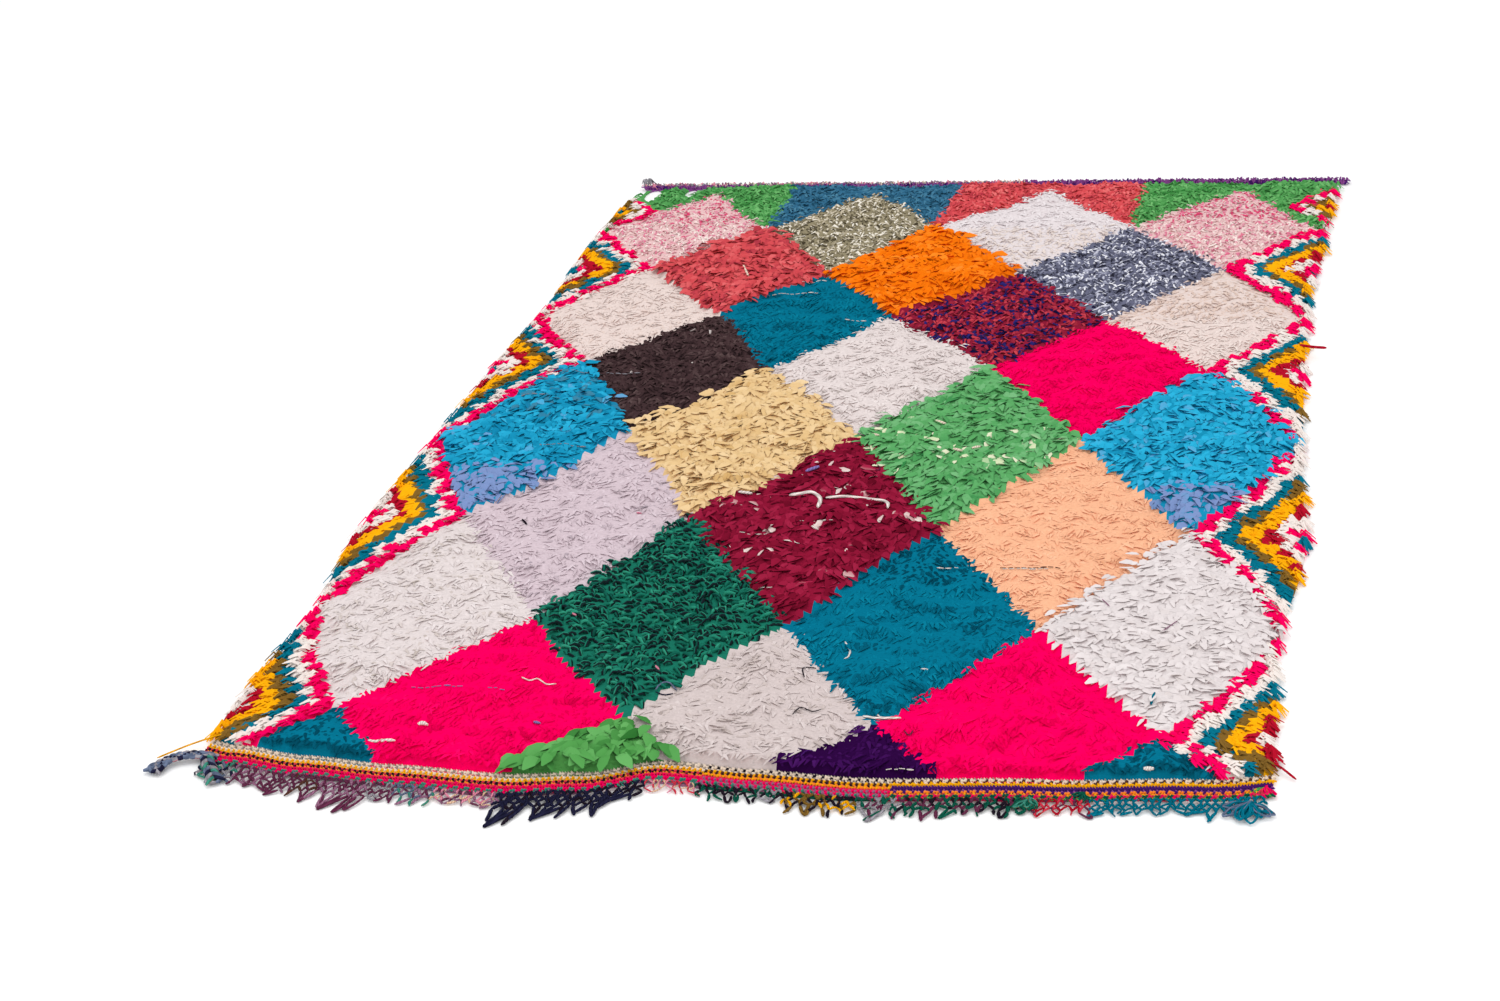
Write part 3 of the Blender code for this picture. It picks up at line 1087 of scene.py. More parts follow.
def yarn_finish(name, stops, blend, threads, depth, stripe=0.0, relief=0.5):
    """A finish for strands: the run of shades, with fibres along the strand and a root darkened by painted
    shade.
    """
    finish, board, shader = new_finish(name, 0.95)
    u, v = map_place(board)
    ramp = board.add("ShaderNodeValToRGB", {"stops": stops}, {0: u})
    ramp.node.color_ramp.interpolation = blend
    fibre_place = board.vector(u * LANES * threads, v * 4.0)
    settings = {"noise_dimensions": "2D"}
    fibre = board.add("ShaderNodeTexNoise", settings, {"Vector": fibre_place, "Scale": 1.0, "Detail": 3.0})
    # Painted shade: the fibre noise varies the tone and also darkens the shadows between fibres, and the
    # strand darkens towards its root, where little light gets down.
    light = (fibre * depth + (1.03 - depth * 0.55)).within(0, 1) * ((v * 0.9 + 0.84).within(0, 1))
    colour = board.scaled(ramp, light)
    if stripe:
        across = (u * LANES) % 1
        line = ((across * (2 * math.pi)).sine() * 4 - 1.6).within(0, 1)
        colour = board.mixed(line * stripe, colour, dye("1A1E26"))
    bump = board.add("ShaderNodeBump", inputs={"Height": fibre, "Strength": relief, "Distance": 0.0012})
    return painted(finish, board, shader, colour, bump)


def run_of(shades):
    """The stops of a colour ramp from a yarn's shades."""
    return [(place, dye(code)) for place, code in shades]


card_stops = [(k / LANES, dye(code)) for k, code in enumerate(CARD.values())]
card_finish = yarn_finish("card_yarn", card_stops, "CONSTANT", 7, 0.34)

# %% Grow the diamonds
class Cloth(NamedTuple):
    """How a kind of yarn looks close to: its threads, how deep their shadows are, stripes, relief."""

    threads: float
    depth: float
    stripe: float
    relief: float


CLOTHS = {
    "wool": Cloth(4, 0.46, 0.0, 0.9),
    "matted": Cloth(5, 0.34, 0.0, 0.7),
    "rag": Cloth(3, 0.30, 0.0, 0.60),
    "leaf": Cloth(3, 0.14, 0.0, 0.15),
    "petal": Cloth(3, 0.12, 0.0, 0.30),
    "strip": Cloth(4, 0.26, 0.95, 0.4),
    "clipped": Cloth(6, 0.36, 0.0, 0.5),
    "tufted": Cloth(6, 0.36, 0.0, 0.5),
}

pile = []
for number, (name, knots) in enumerate(tied.items()):
    yarn = YARNS[name]
    look = CLOTHS[yarn.kind]
    finish = yarn_finish(name + "_yarn", run_of(yarn.shades), "LINEAR", *look)
    values = strand_values(KINDS[yarn.kind], yarn.stray, number * 10, finish)
    pile.append(grow_strands(name + "_pile", knots, values))

# %% Grow the borders
borders = [
    grow_strands(f"{side}_border", knots, strand_values(BORDER_KIND, 0.0, 400 + len(side), card_finish))
    for side, knots in edges.items()
]

# %% [markdown]
# ## The twined band
# Before the first knots, the weaver twines a few rows to lock the warps. Two yarns cross between every
# pair of warps, so each row looks like a string of slanting beads, and the next row slants the other way.
# One bead is one short, fat strand, so the tree of strands can twine too. A table gives each row's dyes.

# %% Rows of the band
class BandRow(NamedTuple):
    """One twined row: its dyes in turn, on the left, in the middle and on the right."""

    left: tuple
    middle: tuple
    right: tuple


BAND_ROWS = (
    BandRow(("cream", "stone"), ("cream", "stone"), ("cream", "stone")),
    BandRow(("cream", "cream", "stone"), ("cream", "cream", "black"), ("cream", "cream", "brown")),
    BandRow(("cream", "stone"), ("cream", "stone"), ("yellow", "cream", "brown")),
    BandRow(("cream", "yellow"), ("yellow", "brown"), ("yellow",)),
    BandRow(("yellow",), ("black", "orange"), ("violet",)),
    BandRow(("black", "coral"), ("yellow", "orange"), ("violet",)),
    BandRow(("black", "orange", "orange"), ("pink", "coral"), ("violet", "purple")),
    BandRow(("pink", "coral"), ("mauve", "pink"), ("orange", "violet", "orange")),
    BandRow(("pink",), ("pink", "mauve"), ("yellow", "orange", "coral")),
    BandRow(
        ("pink", "pink", "sage", "sage"),
        ("mauve", "pink", "sage"),
        ("pink", "coral", "bottle", "bottle"),
    ),
    BandRow(
        ("mauve", "pink", "sage", "sage"),
        ("bottle", "mauve", "pink"),
        ("pink", "bottle", "grass", "bottle"),
    ),
)
BAND_MIDDLE = (-0.03, 0.20)
BEAD_PITCH = 0.0036
BEAD_HIGH = 0.0030
BEAD_SLANT = 26


def band_dye(x, row, bead):
    """The dye of one bead, by the part of the row it lies in."""
    low, high = BAND_MIDDLE
    side = "left" if x < low else "middle" if x < high else "right"
    dyes = getattr(BAND_ROWS[max(0, min(row, len(BAND_ROWS) - 1))], side)
    return dyes[bead % len(dyes)]


def twine_band():
    """The beads of the near band, row by row from the pile to the edge."""
    dice = random.Random(31)
    beads = []
    for row in range(len(BAND_ROWS)):
        x = reach(near_end(0))[0] + LOCK_REACH
        bead = row
        while x < reach(near_end(0))[1] - LOCK_REACH:
            y = near_end(x) + NEAR_BAND_DEEP * (1 - (row + 0.5) / len(BAND_ROWS))
            slant = 90 + (BEAD_SLANT if row % 2 else -BEAD_SLANT)
            z = GROUND_THICK + dice.uniform(-0.0008, -0.0002)
            card_dye = lane(band_dye(x, row, bead))
            beads.append(Knot(x, y + dice.gauss(0, 0.0003), z, BEAD_HIGH, slant, card_dye, 0.0))
            x += BEAD_PITCH * dice.uniform(0.94, 1.06)
            bead += 1
    return beads


bead_kind = Kind(BEAD_PITCH, 0.0052, 0.0022, 0.80, 0.50, 3, 0, 8, 0.0004, 0, True)
bead_values = strand_values(bead_kind, 0.0, 500, card_finish)
near_band = grow_strands("near_band", twine_band(), bead_values)

# %% [markdown]
# ## The net of the near fringe
# Past the band the warps are knotted into a net of diamonds, so that the weft can't slip off, and then
# left loose. A net is only many short cords. We lay each one down as a chain of points, keep its dye and
# thickness on them, and let a second tree turn every chain into a round, plied yarn.

# %% Cords laid as chains of points
class Cord(NamedTuple):
    """A yarn through a few places, with its dye and its half width."""

    places: list
    dye: str
    half_wide: float


CORD_INPUTS = {"Sides": "NodeSocketInt", "Step": "NodeSocketFloat", "Yarn": "NodeSocketMaterial"}


def cord_tree():
    """Turns every chain of points into a soft, round cord."""
    board, given = new_tree("plied_cords", CORD_INPUTS)
    lines = board.add("GeometryNodeMeshToCurve", inputs={"Mesh": given})
    soft = board.add("GeometryNodeCurveSplineType", {"spline_type": "CATMULL_ROM"}, {"Curve": lines})
    inputs = {"Curve": soft, "Length": given["Step"]}
    even = board.add("GeometryNodeResampleCurve", {"mode": "LENGTH"}, inputs)
    t = board.add("GeometryNodeSplineParameter")
    lines = stored(board, even, "along", t)
    lines = board.add("GeometryNodeSetCurveNormal", {"mode": "Z_UP"}, {"Curve": lines})
    wide = ((t * math.pi).sine() * 3 + 0.55).within(0, 1) * named(board, "wide")
    profile = round_profile(board, given["Sides"], 0.9)
    inputs = {"Curve": lines, "Profile Curve": profile, "Scale": wide, "Fill Caps": True}
    body = board.add("GeometryNodeCurveToMesh", inputs=inputs)
    return finished(board, body, True, given["Yarn"])


CORDS = cord_tree()


def lay_cords(name, cords, step, material, sides=4):
    """Cords from a list of chains."""
    places, edges, lanes, widths = [], [], [], []
    for cord in cords:
        start = len(places)
        places += cord.places
        edges += [(k, k + 1) for k in range(start, len(places) - 1)]
        lanes += [float(list(CARD).index(cord.dye))] * len(cord.places)
        widths += [cord.half_wide] * len(cord.places)
    points = bpy.data.meshes.new(name + "_chains")
    points.from_pydata(places, edges, [])
    for number, column in (("lane", lanes), ("wide", widths)):
        points.attributes.new(number, "FLOAT", "POINT").data.foreach_set("value", column)
    return grown(name, points, CORDS, {"Sides": sides, "Step": step, "Yarn": material})


def plied_finish():
    """Plied yarn: two strands twisted together, so dark lines of painted shade run slanting along it, in
    the grooves between them.
    """
    finish, board, shader = new_finish("plied_yarn", 0.92)
    u, v = map_place(board)
    ramp = board.add("ShaderNodeValToRGB", {"stops": card_stops}, {0: u})
    ramp.node.color_ramp.interpolation = "CONSTANT"
    twist = ((u * LANES + v * 4.0) * (2 * math.pi)).sine() * 0.5 + 0.5
    fuzz = board.add("ShaderNodeTexNoise", inputs={"Vector": board.vector(u * 600, v * 40), "Scale": 1.0})
    # Painted shade: the grooves between the two strands are darker; the fuzz varies the tone.
    colour = board.scaled(ramp, (twist * 0.45 + fuzz * 0.5 + 0.42).within(0, 1.15))
    bump = board.add("ShaderNodeBump", inputs={"Height": twist, "Strength": 0.8, "Distance": 0.0010})
    return painted(finish, board, shader, colour, bump)


plied = plied_finish()
print("nodes in the tree of cords:", len(CORDS.nodes))


# %% Knot the net, run by run
class Run(NamedTuple):
    """One length of the net: up to a place across, its dyes, its rows of mesh and its loose ends."""

    up_to: float
    dyes: tuple
    rows: int
    loose: float
    thick: float


RUNS = (
    Run(-0.62, ("blue_grey", "sage", "grey", "navy"), 4, 0.010, 1.0),
    Run(-0.54, ("plum", "plum", "mauve", "plum"), 4, 0.012, 1.0),
    Run(-0.50, ("plum", "brown", "plum"), 4, 0.022, 1.0),
    Run(-0.44, ("plum", "plum", "mauve"), 4, 0.032, 1.1),
    Run(-0.40, ("plum", "plum", "grey"), 4, 0.010, 1.0),
    Run(-0.35, ("plum", "blue_grey", "sage", "mauve"), 3, 0.014, 1.0),
    Run(-0.27, ("sand", "rose", "plum", "mauve"), 3, 0.006, 0.9),
    Run(-0.22, ("navy", "black", "navy", "navy"), 4, 0.040, 1.4),
    Run(-0.13, ("navy", "black", "navy", "navy"), 4, 0.026, 1.3),
    Run(-0.095, ("navy", "black"), 3, 0.020, 1.2),
    Run(-0.035, ("sand", "rose", "coral"), 2, 0.008, 0.7),
    Run(0.025, ("bottle", "bottle", "black"), 2, 0.018, 1.0),
    Run(0.070, ("black", "grey", "bottle"), 2, 0.010, 1.0),
    Run(0.125, ("yellow", "olive", "black", "olive"), 3, 0.020, 1.2),
    Run(0.165, ("olive", "black", "yellow"), 3, 0.012, 1.1),
    Run(0.215, ("bottle", "bottle", "grey", "plum"), 3, 0.020, 1.1),
    Run(0.290, ("bottle", "black", "plum", "bottle"), 3, 0.016, 1.2),
    Run(0.365, ("black", "bottle", "black", "plum"), 3, 0.012, 1.2),
    Run(0.430, ("red", "coral", "plum", "red"), 3, 0.008, 0.9),
    Run(0.545, ("teal",), 3, 0.006, 1.0),
    Run(0.575, ("teal",), 3, 0.018, 1.1),
    Run(0.660, ("teal",), 3, 0.010, 1.1),
)
NET_ENDS = (-0.668, 0.636)
NET_PITCH = 0.0090
NET_DEEP = 0.0084
NET_ROWS = 5
FIRST_ROW_HIGH = 0.0042
NET_HIGH = 0.0026
NODE_STRAY = 0.0020
CORD_HALF = 0.0018
CORD_BULGE = 0.0012
LOOP_SHARE = 0.22
GROUPS = (1, 2, 2, 3, 4)


def run_at(x):
    """The length of the net that a place across lies in."""
    return next((run for run in RUNS if x < run.up_to), RUNS[-1])


def knot_net():
    """The mesh of cords, row by row, then the loose ends: pairs that meet in a point, and a few loops."""
    dice = random.Random(12)
    left, right = NET_ENDS
    count = round((right - left) / NET_PITCH)
    cords = []

    def node(k, row):
        x = left + (k + 0.5 * (row % 2)) * NET_PITCH
        y = near_end(x) + 0.002 - row * NET_DEEP
        z = FIRST_ROW_HIGH if row == 0 else NET_HIGH
        spread = NODE_STRAY if row else 0.0
        return (x + dice.gauss(0, spread), y + dice.gauss(0, spread), z + dice.uniform(0, 0.0012))

    def cord(start, stop, run, bulge):
        middle = [(a + b) / 2 for a, b in zip(start, stop)]
        middle[0] += bulge * dice.uniform(0.3, 1.2)
        middle[2] += 0.0010
        half = CORD_HALF * run.thick * dice.uniform(0.8, 1.15)
        cords.append(Cord([start, tuple(middle), stop], dice.choice(run.dyes), half))

    rows = [[node(k, row) for k in range(count + 1)] for row in range(NET_ROWS)]
    group_end = 0
    for k in range(count):
        run = run_at(rows[0][k][0])
        for row in range(run.rows):
            ahead = k + 1 if row % 2 else k - 1
            cord(rows[row][k], rows[row + 1][k], run, CORD_BULGE)
            cord(rows[row][k], rows[row + 1][max(0, ahead)], run, -CORD_BULGE)
        last = rows[run.rows][k]
        if k == group_end:
            group_end += dice.choice(GROUPS)
            meet = left + (k + group_end) / 2 * NET_PITCH
            hang = run.loose * dice.uniform(0.45, 1.15)
        lean = hang * (-0.45 if last[0] < -0.05 else dice.uniform(-0.4, 0.2))
        drop = hang * dice.uniform(0.8, 1.1)
        tip = (meet + lean + dice.gauss(0, 0.0016), last[1] - drop, 0.0018)
        half = CORD_HALF * run.thick
        if dice.random() < LOOP_SHARE:
            back = (last[0] + NET_PITCH, last[1], last[2])
            side = (tip[0] + 0.004, tip[1] + 0.002, 0.0022)
            cords.append(Cord([last, tip, side, back], dice.choice(run.dyes), half))
        else:
            bend_x = last[0] * 0.6 + tip[0] * 0.4 + dice.gauss(0, 0.0010)
            bend = (bend_x, last[1] - hang * 0.5, 0.0030)
            cords.append(Cord([last, bend, tip], dice.choice(run.dyes), half))
    return cords


# %% [markdown]
# ## The ends that stray
# Nobody trimmed this rug. A braid of grey yarn sticks out at the near left corner, a knot of teal loops
# at the near right one, and thread ends have come loose here and there. They are laid one by one.

# %% Braid and bunch at the near corners
BRAID_STEPS = 10
BUNCH_HALF = 0.0015


def braid(places, yarns, turns, wide, half):
    """Yarns laid over one another along a bend through three places, with their ends spread."""
    start, bend, stop = (Vector(place) for place in places)
    cords = []
    for number, yarn in enumerate(yarns):
        chain = []
        for k in range(BRAID_STEPS + 1):
            share = k / BRAID_STEPS
            place = start.lerp(bend, share).lerp(bend.lerp(stop, share), share)
            side = (bend - start).lerp(stop - bend, share).cross(Vector((0, 0, 1))).normalized()
            phase = 2 * math.pi * (share * turns + number / len(yarns))
            spread = wide * (1 + 4 * max(0.0, share - 0.75))
            place += side * spread * math.sin(phase)
            place.z += wide * 0.5 * (1 + math.sin(2 * phase))
            chain.append(tuple(place))
        cords.append(Cord(chain, yarn, half))
    return cords


def bunch(centre, size, yarns, count, seed):
    """Loops that come out of one knot and go back into it."""
    dice = random.Random(seed)
    cords = []
    for number in range(count):
        turn = math.pi * (1.1 + 0.8 * number / count) + dice.gauss(0, 0.2)
        reach_out = size * dice.uniform(0.6, 1.1)
        ahead = Vector((math.cos(turn), math.sin(turn), 0))
        across = Vector((-ahead.y, ahead.x, 0)) * size * dice.uniform(0.10, 0.22)
        root = Vector(centre) + Vector((0, 0, dice.uniform(0.002, 0.007)))
        far = root + ahead * reach_out
        far.z = 0.003 + dice.uniform(0, 0.003)
        places = [root, root.lerp(far, 0.55) + across, far, root.lerp(far, 0.55) - across, root]
        places[-1] = places[-1] + Vector((0.002, 0.001, 0))
        cords.append(Cord([tuple(place) for place in places], dice.choice(yarns), BUNCH_HALF))
    return cords


fringe_cords = knot_net()
LEFT_BRAID = ((-0.652, -1.094, 0.004), (-0.712, -1.080, 0.008), (-0.724, -1.132, 0.002))
LEFT_TAIL = ((-0.668, -1.088, 0.004), (-0.652, -1.120, 0.006), (-0.630, -1.148, 0.002))
heather = ("blue_grey", "grey", "navy", "blue_grey")
fringe_cords += braid(LEFT_BRAID, heather, 2.5, 0.0060, 0.0034)
fringe_cords += braid(LEFT_TAIL, ("blue_grey", "sage", "grey", "navy"), 2.0, 0.0060, 0.0030)
fringe_cords += bunch((0.618, -1.090, 0.003), 0.038, ("teal", "teal", "blue_grey"), 16, 3)
fringe_cords += bunch((0.366, -1.106, 0.004), 0.022, ("bottle", "bottle", "sage"), 9, 4)
fringe_cords += bunch((0.428, -1.090, 0.004), 0.014, ("bottle", "bottle", "sage"), 6, 5)
fringe_cords += bunch((0.634, -1.058, 0.004), 0.017, ("pink", "bottle", "coral", "grass"), 8, 6)
near_net = lay_cords("near_net", fringe_cords, 0.0034, plied)

# %% Violet ends along the far edge
FAR_PITCH = 0.0031
FAR_ROWS = 4
CORNER_ENDS = 14
FAR_ENDS = (-0.684, 0.726)
TWO_TONE_UP_TO = 0.10
PALE_ENDS = ("mauve", "cream", "rose", "grey")
DARK_ENDS = ("purple", "purple", "purple", "violet")


def far_knots():
    """Four rows of short ends, and a grey tuft at the left corner."""
    dice = random.Random(14)
    left, right = FAR_ENDS
    ends = []
    for row in range(FAR_ROWS):
        x = left
        while x < right:
            y = FAR_END - 0.006 + row * 0.0030 + dice.gauss(0, 0.0010)
            pale = row > 1 and x < TWO_TONE_UP_TO
            heading = 180 + dice.gauss(0, 40)
            rise = dice.uniform(0.004, 0.008) + row * 0.0012
            shade = lane(dice.choice(PALE_ENDS if pale else DARK_ENDS))
            ends.append(Knot(x, y, GROUND_THICK - 0.001, rise, heading, shade, 0.0))
            x += FAR_PITCH * dice.uniform(0.7, 1.3)
    for k in range(CORNER_ENDS):
        x = left + dice.uniform(-0.006, 0.010)
        heading = 180 + dice.gauss(0, 50)
        ends.append(Knot(x, FAR_END + 0.002, GROUND_THICK, 0.020, heading, lane("grey"), 0.0))
    return ends


far_kind = Kind(FAR_PITCH, 0.014, 0.0022, 0.70, 0.45, 3, 20, 60, 0.0045, 0)
far_ends = grow_strands("far_ends", far_knots(), strand_values(far_kind, 0.0, 600, card_finish))


# %% Loose threads
class Thread(NamedTuple):
    """A stray thread on the pile: its dye, its half width in millimetres and where it runs."""

    dye: str
    half_wide: float
    places: tuple


class Weft(NamedTuple):
    """A shot of weft that shows as dashes between two rows: its dye, from and to across, and along."""

    dye: str
    left: float
    right: float
    along: float


CORNER_THREADS = (
    Thread("yellow", 1.3, ((-0.660, -1.046, 0.014), (-0.698, -1.066, 0.008), (-0.732, -1.096, 0.004))),
    Thread("red", 1.8, ((0.632, -1.000, 0.014), (0.650, -1.014, 0.010), (0.668, -1.030, 0.004))),
)
THREADS = (
    Thread("white", 1.2, ((0.089, -0.757), (0.098, -0.773), (0.099, -0.792), (0.095, -0.798))),
    Thread("black", 0.8, ((0.053, -0.851), (0.047, -0.833), (0.050, -0.825), (0.062, -0.819))),
    Thread(
        "black", 0.8,
        ((0.057, -0.949), (0.063, -0.931), (0.072, -0.933), (0.082, -0.942), (0.091, -0.936)),
    ),
    Thread("white", 1.8, ((0.144, -0.940), (0.160, -0.946), (0.177, -0.947), (0.193, -0.951))),
    Thread("white", 1.2, ((0.156, -0.929), (0.166, -0.941), (0.178, -0.945))),
    Thread("plum", 0.9, ((0.202, -0.980), (0.210, -0.993), (0.213, -0.981))),
    Thread("violet", 1.2, ((0.087, -1.051), (0.092, -1.039), (0.099, -1.036))),
    Thread("white", 2.0, ((-0.466, -1.047), (-0.455, -1.050), (-0.446, -1.048))),
    Thread("white", 2.4, ((-0.447, -1.051), (-0.436, -1.052), (-0.427, -1.054))),
    Thread("mauve", 0.8, ((0.404, -0.607), (0.415, -0.633), (0.422, -0.647))),
    Thread("mauve", 0.8, ((0.495, -0.715), (0.504, -0.698), (0.512, -0.681))),
    Thread("white", 3.4, ((-0.413, -1.010), (-0.408, -1.005), (-0.401, -1.007))),
    Thread("white", 3.2, ((0.494, -1.041), (0.500, -1.042), (0.506, -1.042))),
    Thread("blue_grey", 1.3, ((-0.131, -0.899), (-0.128, -0.888), (-0.118, -0.882), (-0.106, -0.889))),
    Thread("navy", 1.1, ((-0.130, -0.904), (-0.120, -0.901), (-0.109, -0.897))),
    Thread("teal", 1.6, ((0.493, -0.896), (0.494, -0.883), (0.496, -0.873))),
    Thread("red", 2.4, ((0.652, 0.309), (0.671, 0.301), (0.694, 0.288))),
    Thread("plum", 1.0, ((0.035, -0.188), (0.043, -0.202), (0.043, -0.217), (0.035, -0.210))),
    Thread(
        "white", 3.0,
        ((-0.071, -0.322), (-0.059, -0.308), (-0.041, -0.307), (-0.025, -0.327), (-0.020, -0.368)),
    ),
    Thread(
        "white", 2.4,
        ((-0.017, -0.323), (0.013, -0.322), (0.042, -0.321), (0.073, -0.330), (0.081, -0.360)),
    ),
    Thread("white", 2.6, ((-0.154, -0.301), (-0.133, -0.300))),
    Thread("white", 2.4, ((-0.019, -0.422), (-0.008, -0.432))),
    Thread("lilac", 3.0, ((-0.065, -0.232), (-0.045, -0.224))),
    Thread("blue_grey", 2.2, ((0.197, -0.888), (0.206, -0.892))),
    Thread("white", 1.8, ((0.200, -0.828), (0.209, -0.830))),
    Thread("rose", 1.8, ((-0.290, -0.722), (-0.283, -0.730))),
    Thread("rose", 1.8, ((-0.145, -0.844), (-0.138, -0.852))),
    Thread(
        "white", 1.1,
        ((-0.314, -0.883), (-0.300, -0.893), (-0.292, -0.884), (-0.278, -0.894), (-0.265, -0.893)),
    ),
    Thread("lilac", 2.4, ((-0.263, -0.999), (-0.254, -1.000))),
    Thread("black", 1.6, ((-0.456, -0.413), (-0.445, -0.427))),
    Thread("rose", 1.8, ((-0.294, -0.367), (-0.286, -0.370))),
    Thread("cream", 2.6, ((0.102, -0.032), (0.120, -0.039))),
    Thread("cream", 2.6, ((0.145, -0.139), (0.160, -0.146))),
    Thread("cream", 2.4, ((0.173, -0.134), (0.186, -0.130))),
    Thread("cream", 2.2, ((0.011, -0.082), (0.023, -0.089))),
    Thread("cream", 2.0, ((-0.359, 0.681), (-0.339, 0.632))),
)
WEFTS = (
    Weft("white", 0.194, 0.225, -1.069),
    Weft("lilac", -0.454, -0.385, -0.917),
    Weft("lilac", -0.348, -0.332, -0.920),
    Weft("white", -0.118, -0.080, -0.453),
    Weft("white", -0.057, -0.038, -0.615),
    Weft("white", -0.040, 0.004, -0.406),
    Weft("white", 0.177, 0.203, -0.530),
    Weft("white", -0.237, -0.191, 0.621),
    Weft("white", -0.279, -0.200, 0.553),
    Weft("white", -0.121, -0.091, 0.418),
    Weft("grey", -0.507, -0.434, -0.149),
    Weft("grey", -0.636, -0.567, 0.052),
    Weft("brown", 0.264, 0.346, -0.530),
    Weft("white", 0.268, 0.333, -0.536),
    Weft("grey", -0.566, -0.426, 0.169),
)
THREAD_LIFT = 0.0012
WEFT_HALF = 0.0013


def on_pile(x, y):
    """A place on top of the pile."""
    column, line = lattice(x, y)
    kind = YARNS[yarn_at(column, line) or "warm_white"].kind
    return x, y, pile_high(x, y, column, line, kind in TALL_KINDS) + THREAD_LIFT


def weft_dashes(weft, dice):
    """The weft dips under every few warps, so it shows as dashes."""
    dashes = []
    x = weft.left
    while x < weft.right:
        stop = x + dice.uniform(0.004, 0.010)
        y = weft.along + dice.gauss(0, 0.0008)
        places = [on_pile(x, y), on_pile(stop, y + dice.gauss(0, 0.0010))]
        dashes.append(Cord(places, weft.dye, WEFT_HALF))
        x = stop + dice.uniform(0.001, 0.004)
    return dashes


def lay_threads():
    """All the loose threads and the dashes of weft."""
    dice = random.Random(9)
    cords = [Cord(list(t.places), t.dye, t.half_wide / 1000) for t in CORNER_THREADS]
    cords += [Cord([on_pile(*place) for place in t.places], t.dye, t.half_wide / 1000) for t in THREADS]
    for weft in WEFTS:
        cords += weft_dashes(weft, dice)
    return cords


threads = lay_cords("loose_threads", lay_threads(), 0.004, plied)

# %% [markdown]
# ## The ground weave
# Under the pile lies the cloth itself: warps of cotton and wool with a few shots of weft between the
# rows of knots. From above it shows only between tufts. From below it carries the whole pattern, since
# every knot loops round the warps, so its faces are coloured one by one from the chart.

# %% Build the ground weave
GROUND_COLUMNS = 122
GROUND_ROWS = 196
HALF_ACROSS = 0.70
HOLE_SIDES = 14
HOLE_UNEVEN = 0.10


def ground_point(share_across, share_along, top):
    """A point of the cloth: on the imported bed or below."""
    guess = HALF_ACROSS * (2 * share_across - 1)
    y = near_end(guess) * (1 - share_along) + FAR_END * share_along
    left, right = reach(y)
    x = (left + LOCK_REACH) * (1 - share_across) + (right - LOCK_REACH) * share_across
    if not top:
        return x, y, 0.0
    column, line = lattice(x, y)
    name = YARNS[yarn_at(column, line) or "warm_white"].kind
    kind = BORDER_KIND if border_dye(x, y, column, line) else KINDS[name]
    return x, y, bed_high(x, y, pile_high(x, y, column, line, name in TALL_KINDS), kind)


def build_ground():
    """Two grids, the bed above and the back below, joined along their rims."""
    mesh = bmesh.new()
    grids = []
    for top in (True, False):
        places = [
            [ground_point(c / GROUND_COLUMNS, r / GROUND_ROWS, top) for c in range(GROUND_COLUMNS + 1)]
            for r in range(GROUND_ROWS + 1)
        ]
        grids.append([[mesh.verts.new(place) for place in row] for row in places])
    for grid in grids:
        for low, high in zip(grid, grid[1:]):
            for a, b, c, d in zip(low, low[1:], high[1:], high):
                mesh.faces.new((a, b, c, d))
    rims = []
    for grid in grids:
        sides = [row[-1] for row in grid[1:-1]], [row[0] for row in grid[-2:0:-1]]
        rims.append(grid[0] + sides[0] + grid[-1][::-1] + sides[1])
    top, bottom = rims
    for k in range(len(top)):
        mesh.faces.new((top[k - 1], top[k], bottom[k], bottom[k - 1]))
    bmesh.ops.recalc_face_normals(mesh, faces=mesh.faces)
    data = bpy.data.meshes.new("ground_weave")
    mesh.to_mesh(data)
    mesh.free()
    made = bpy.data.objects.new("ground_weave", data)
    bpy.context.scene.collection.objects.link(made)
    return made


def oval_cutter(hole):
    """A slightly uneven oval plug, as large as a hole."""
    mesh = bmesh.new()
    size = {"segments": HOLE_SIDES, "radius1": 0.5, "radius2": 0.5, "depth": 0.1}
    bmesh.ops.create_cone(mesh, cap_ends=True, **size)
    for k, vertex in enumerate(mesh.verts):
        uneven = 1 + HOLE_UNEVEN * math.sin(5.3 * (k // 2))
        vertex.co.x = vertex.co.x * hole.wide * uneven + hole.across
        vertex.co.y = vertex.co.y * hole.deep * uneven + hole.along
    data = bpy.data.meshes.new("cutter")
    mesh.to_mesh(data)
    mesh.free()
    made = bpy.data.objects.new("cutter", data)
    bpy.context.scene.collection.objects.link(made)
    return made


def cut_through(piece, cutters):
    """Cuts the holes and keeps the result as a plain mesh."""
    for cutter in cutters:
        cut = piece.modifiers.new("hole", "BOOLEAN")
        cut.operation = "DIFFERENCE"
        cut.object = cutter
    graph = bpy.context.evaluated_depsgraph_get()
    mesh = bpy.data.meshes.new_from_object(piece.evaluated_get(graph), depsgraph=graph)
    piece.modifiers.clear()
    piece.data = mesh
    for cutter in cutters:
        bpy.data.objects.remove(cutter)


ground = build_ground()
cut_through(ground, [oval_cutter(hole) for hole in HOLES])
print("ground weave faces:", len(ground.data.polygons))


# %% Colour the ground weave knot by knot
MAIN_SHADE = 0.5


def shade_code(yarn):
    """The code of the shade in the middle of a yarn's run."""
    return min(yarn.shades, key=lambda shade: abs(shade[0] - MAIN_SHADE))[1]


def ground_colour(x, y):
    """The colour of the cloth's face at a place, read from the chart."""
    from_near, from_far = y - near_end(x), FAR_END - y
    if from_near < NEAR_BAND_DEEP - 0.006:
        return dye(CARD[band_dye(x, int((1 - from_near / NEAR_BAND_DEEP) * len(BAND_ROWS)), 0)])
    if from_far < FAR_BAND_DEEP:
        return dye(CARD["purple"])
    column, line = lattice(x, y - TIP_LEAN / 2)
    card_dye = border_dye(x, y - TIP_LEAN / 2, column, line)
    if card_dye:
        return dye(CARD[card_dye])
    return dye(shade_code(YARNS[yarn_at(column, line) or "warm_white"]))


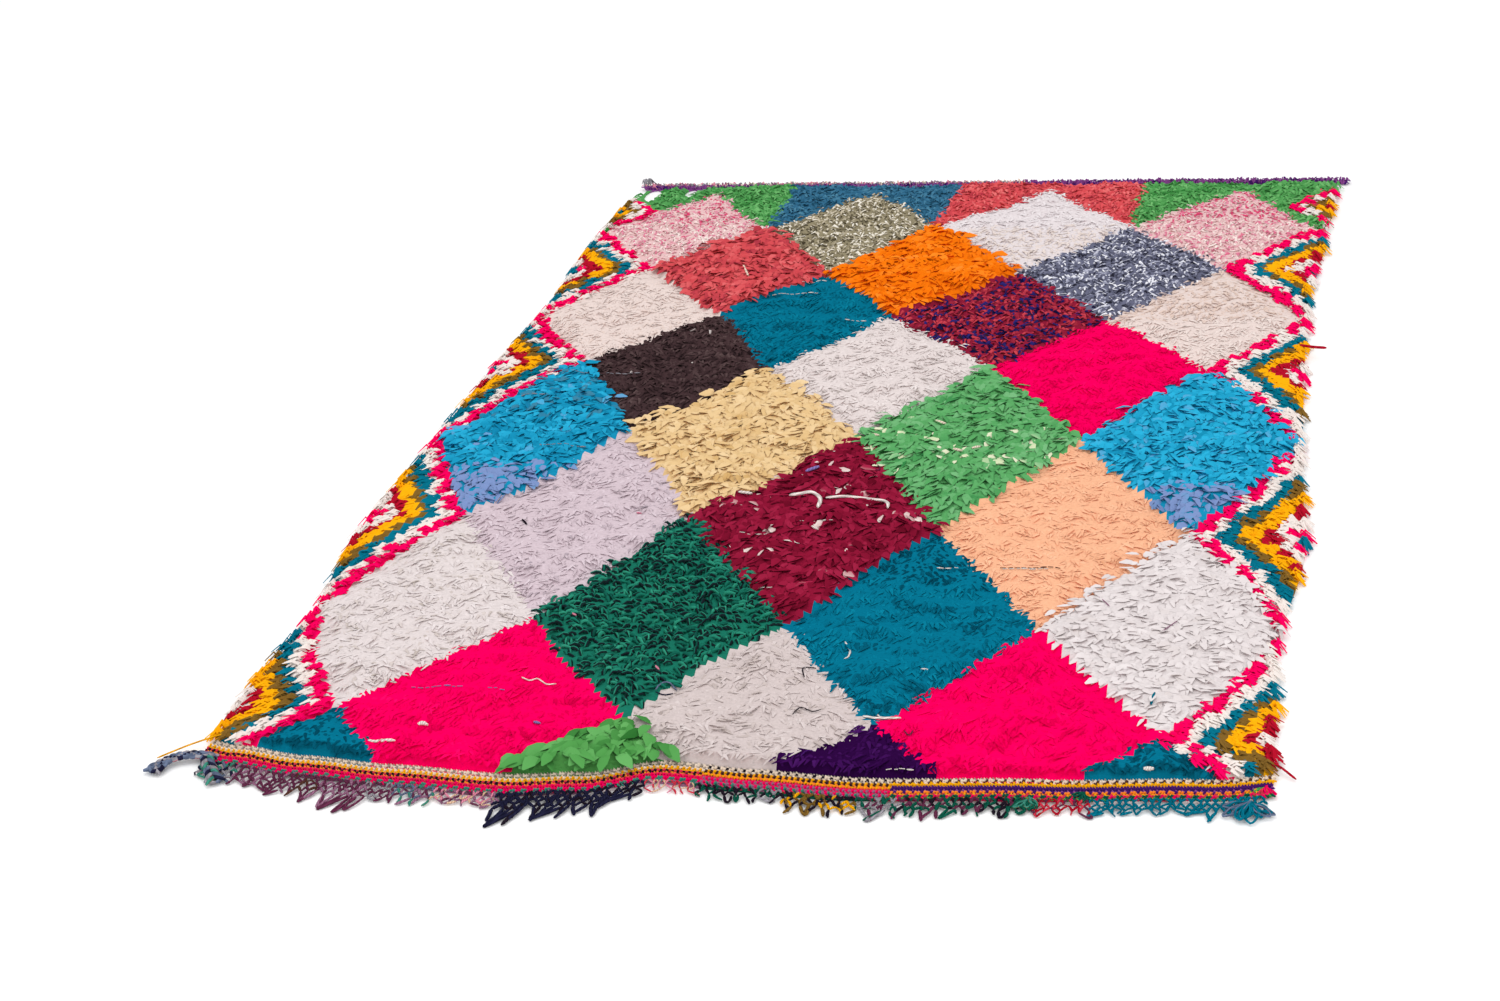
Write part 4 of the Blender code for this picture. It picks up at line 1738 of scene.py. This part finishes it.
colours = ground.data.color_attributes.new("knot_colour", "FLOAT_COLOR", "CORNER")
for face in ground.data.polygons:
    colour = ground_colour(face.center.x, face.center.y)
    face.material_index = 0 if face.normal.z > -0.5 else 1
    for corner in face.loop_indices:
        colours.data[corner].color = colour


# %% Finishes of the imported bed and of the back
BACK_ROW = 0.0106
WARP_PITCH = 0.0042


def bed_finish():
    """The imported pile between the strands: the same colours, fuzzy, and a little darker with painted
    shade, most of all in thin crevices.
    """
    finish, board, shader = new_finish("packed_bed", 0.95)
    spot = board.add("ShaderNodeTexCoord", out="Object")
    knot = board.add("ShaderNodeAttribute", {"attribute_name": "knot_colour"})
    part = board.add("ShaderNodeSeparateXYZ", inputs={0: spot})
    long_place = board.vector(part["X"] * 90, part["Y"] * 260)
    fuzz = board.add("ShaderNodeTexNoise", inputs={"Vector": spot, "Scale": 260.0, "Detail": 4.0})
    dash = board.add("ShaderNodeTexNoise", inputs={"Vector": long_place, "Scale": 1.0, "Detail": 2.0})
    # Painted shade: thin crevices along the rows are darker, where the strands above shade the bed; the
    # fuzz varies the tone.
    gap = ((dash - 0.58) * 7).within(0, 1)
    colour = board.scaled(knot, (fuzz * 0.36 + 0.78) * (1 - gap * 0.22))
    height = fuzz * 0.5 + dash * -0.5
    bump = board.add("ShaderNodeBump", inputs={"Height": height, "Strength": 0.5, "Distance": 0.002})
    return painted(finish, board, shader, colour, bump)


def back_finish():
    """Rows of knots seen from the back, with cotton weft between them."""
    finish, board, shader = new_finish("woven_back", 0.95)
    spot = board.add("ShaderNodeTexCoord", out="Object")
    part = board.add("ShaderNodeSeparateXYZ", inputs={0: spot})
    knot = board.add("ShaderNodeAttribute", {"attribute_name": "knot_colour"})
    weft = ((part["Y"] * (2 * math.pi / BACK_ROW)).sine() * 1.4 + 0.35).within(0, 1)
    warp = (part["X"] * (2 * math.pi / WARP_PITCH)).sine() * 0.5 + 0.5
    fuzz = board.add("ShaderNodeTexNoise", inputs={"Vector": spot, "Scale": 420.0, "Detail": 3.0})
    cloth = board.mixed(weft, dye("D8CABC"), knot)
    # Painted shade: the back is darker in the grooves between the warps; the fuzz varies the tone.
    colour = board.scaled(cloth, (fuzz * 0.5 + 0.45 + warp * 0.2).within(0, 1))
    height = weft * 0.6 + warp * 0.5 + fuzz * 0.3
    bump = board.add("ShaderNodeBump", inputs={"Height": height, "Strength": 0.6, "Distance": 0.0010})
    return painted(finish, board, shader, colour, bump)


ground.data.materials.append(bed_finish())
ground.data.materials.append(back_finish())

# %% [markdown]
# ## Keep the sizes
# Every piece rides on the one body that there is, and is listed with a slot.

slots = {piece: "pile" for piece in [ground, near_band, threads, *pile, *borders]}
slots |= {near_net: "fringe_yarn", far_ends: "edge_yarn"}
for piece, slot in slots.items():
    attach(piece, "root")
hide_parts("woven_rug")
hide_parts("near_fringe")
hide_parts("far_tufts")
area = sum(face.area for face in ground.data.polygons) / 2
print("ground weave area:", round(area, 3), "square metres")
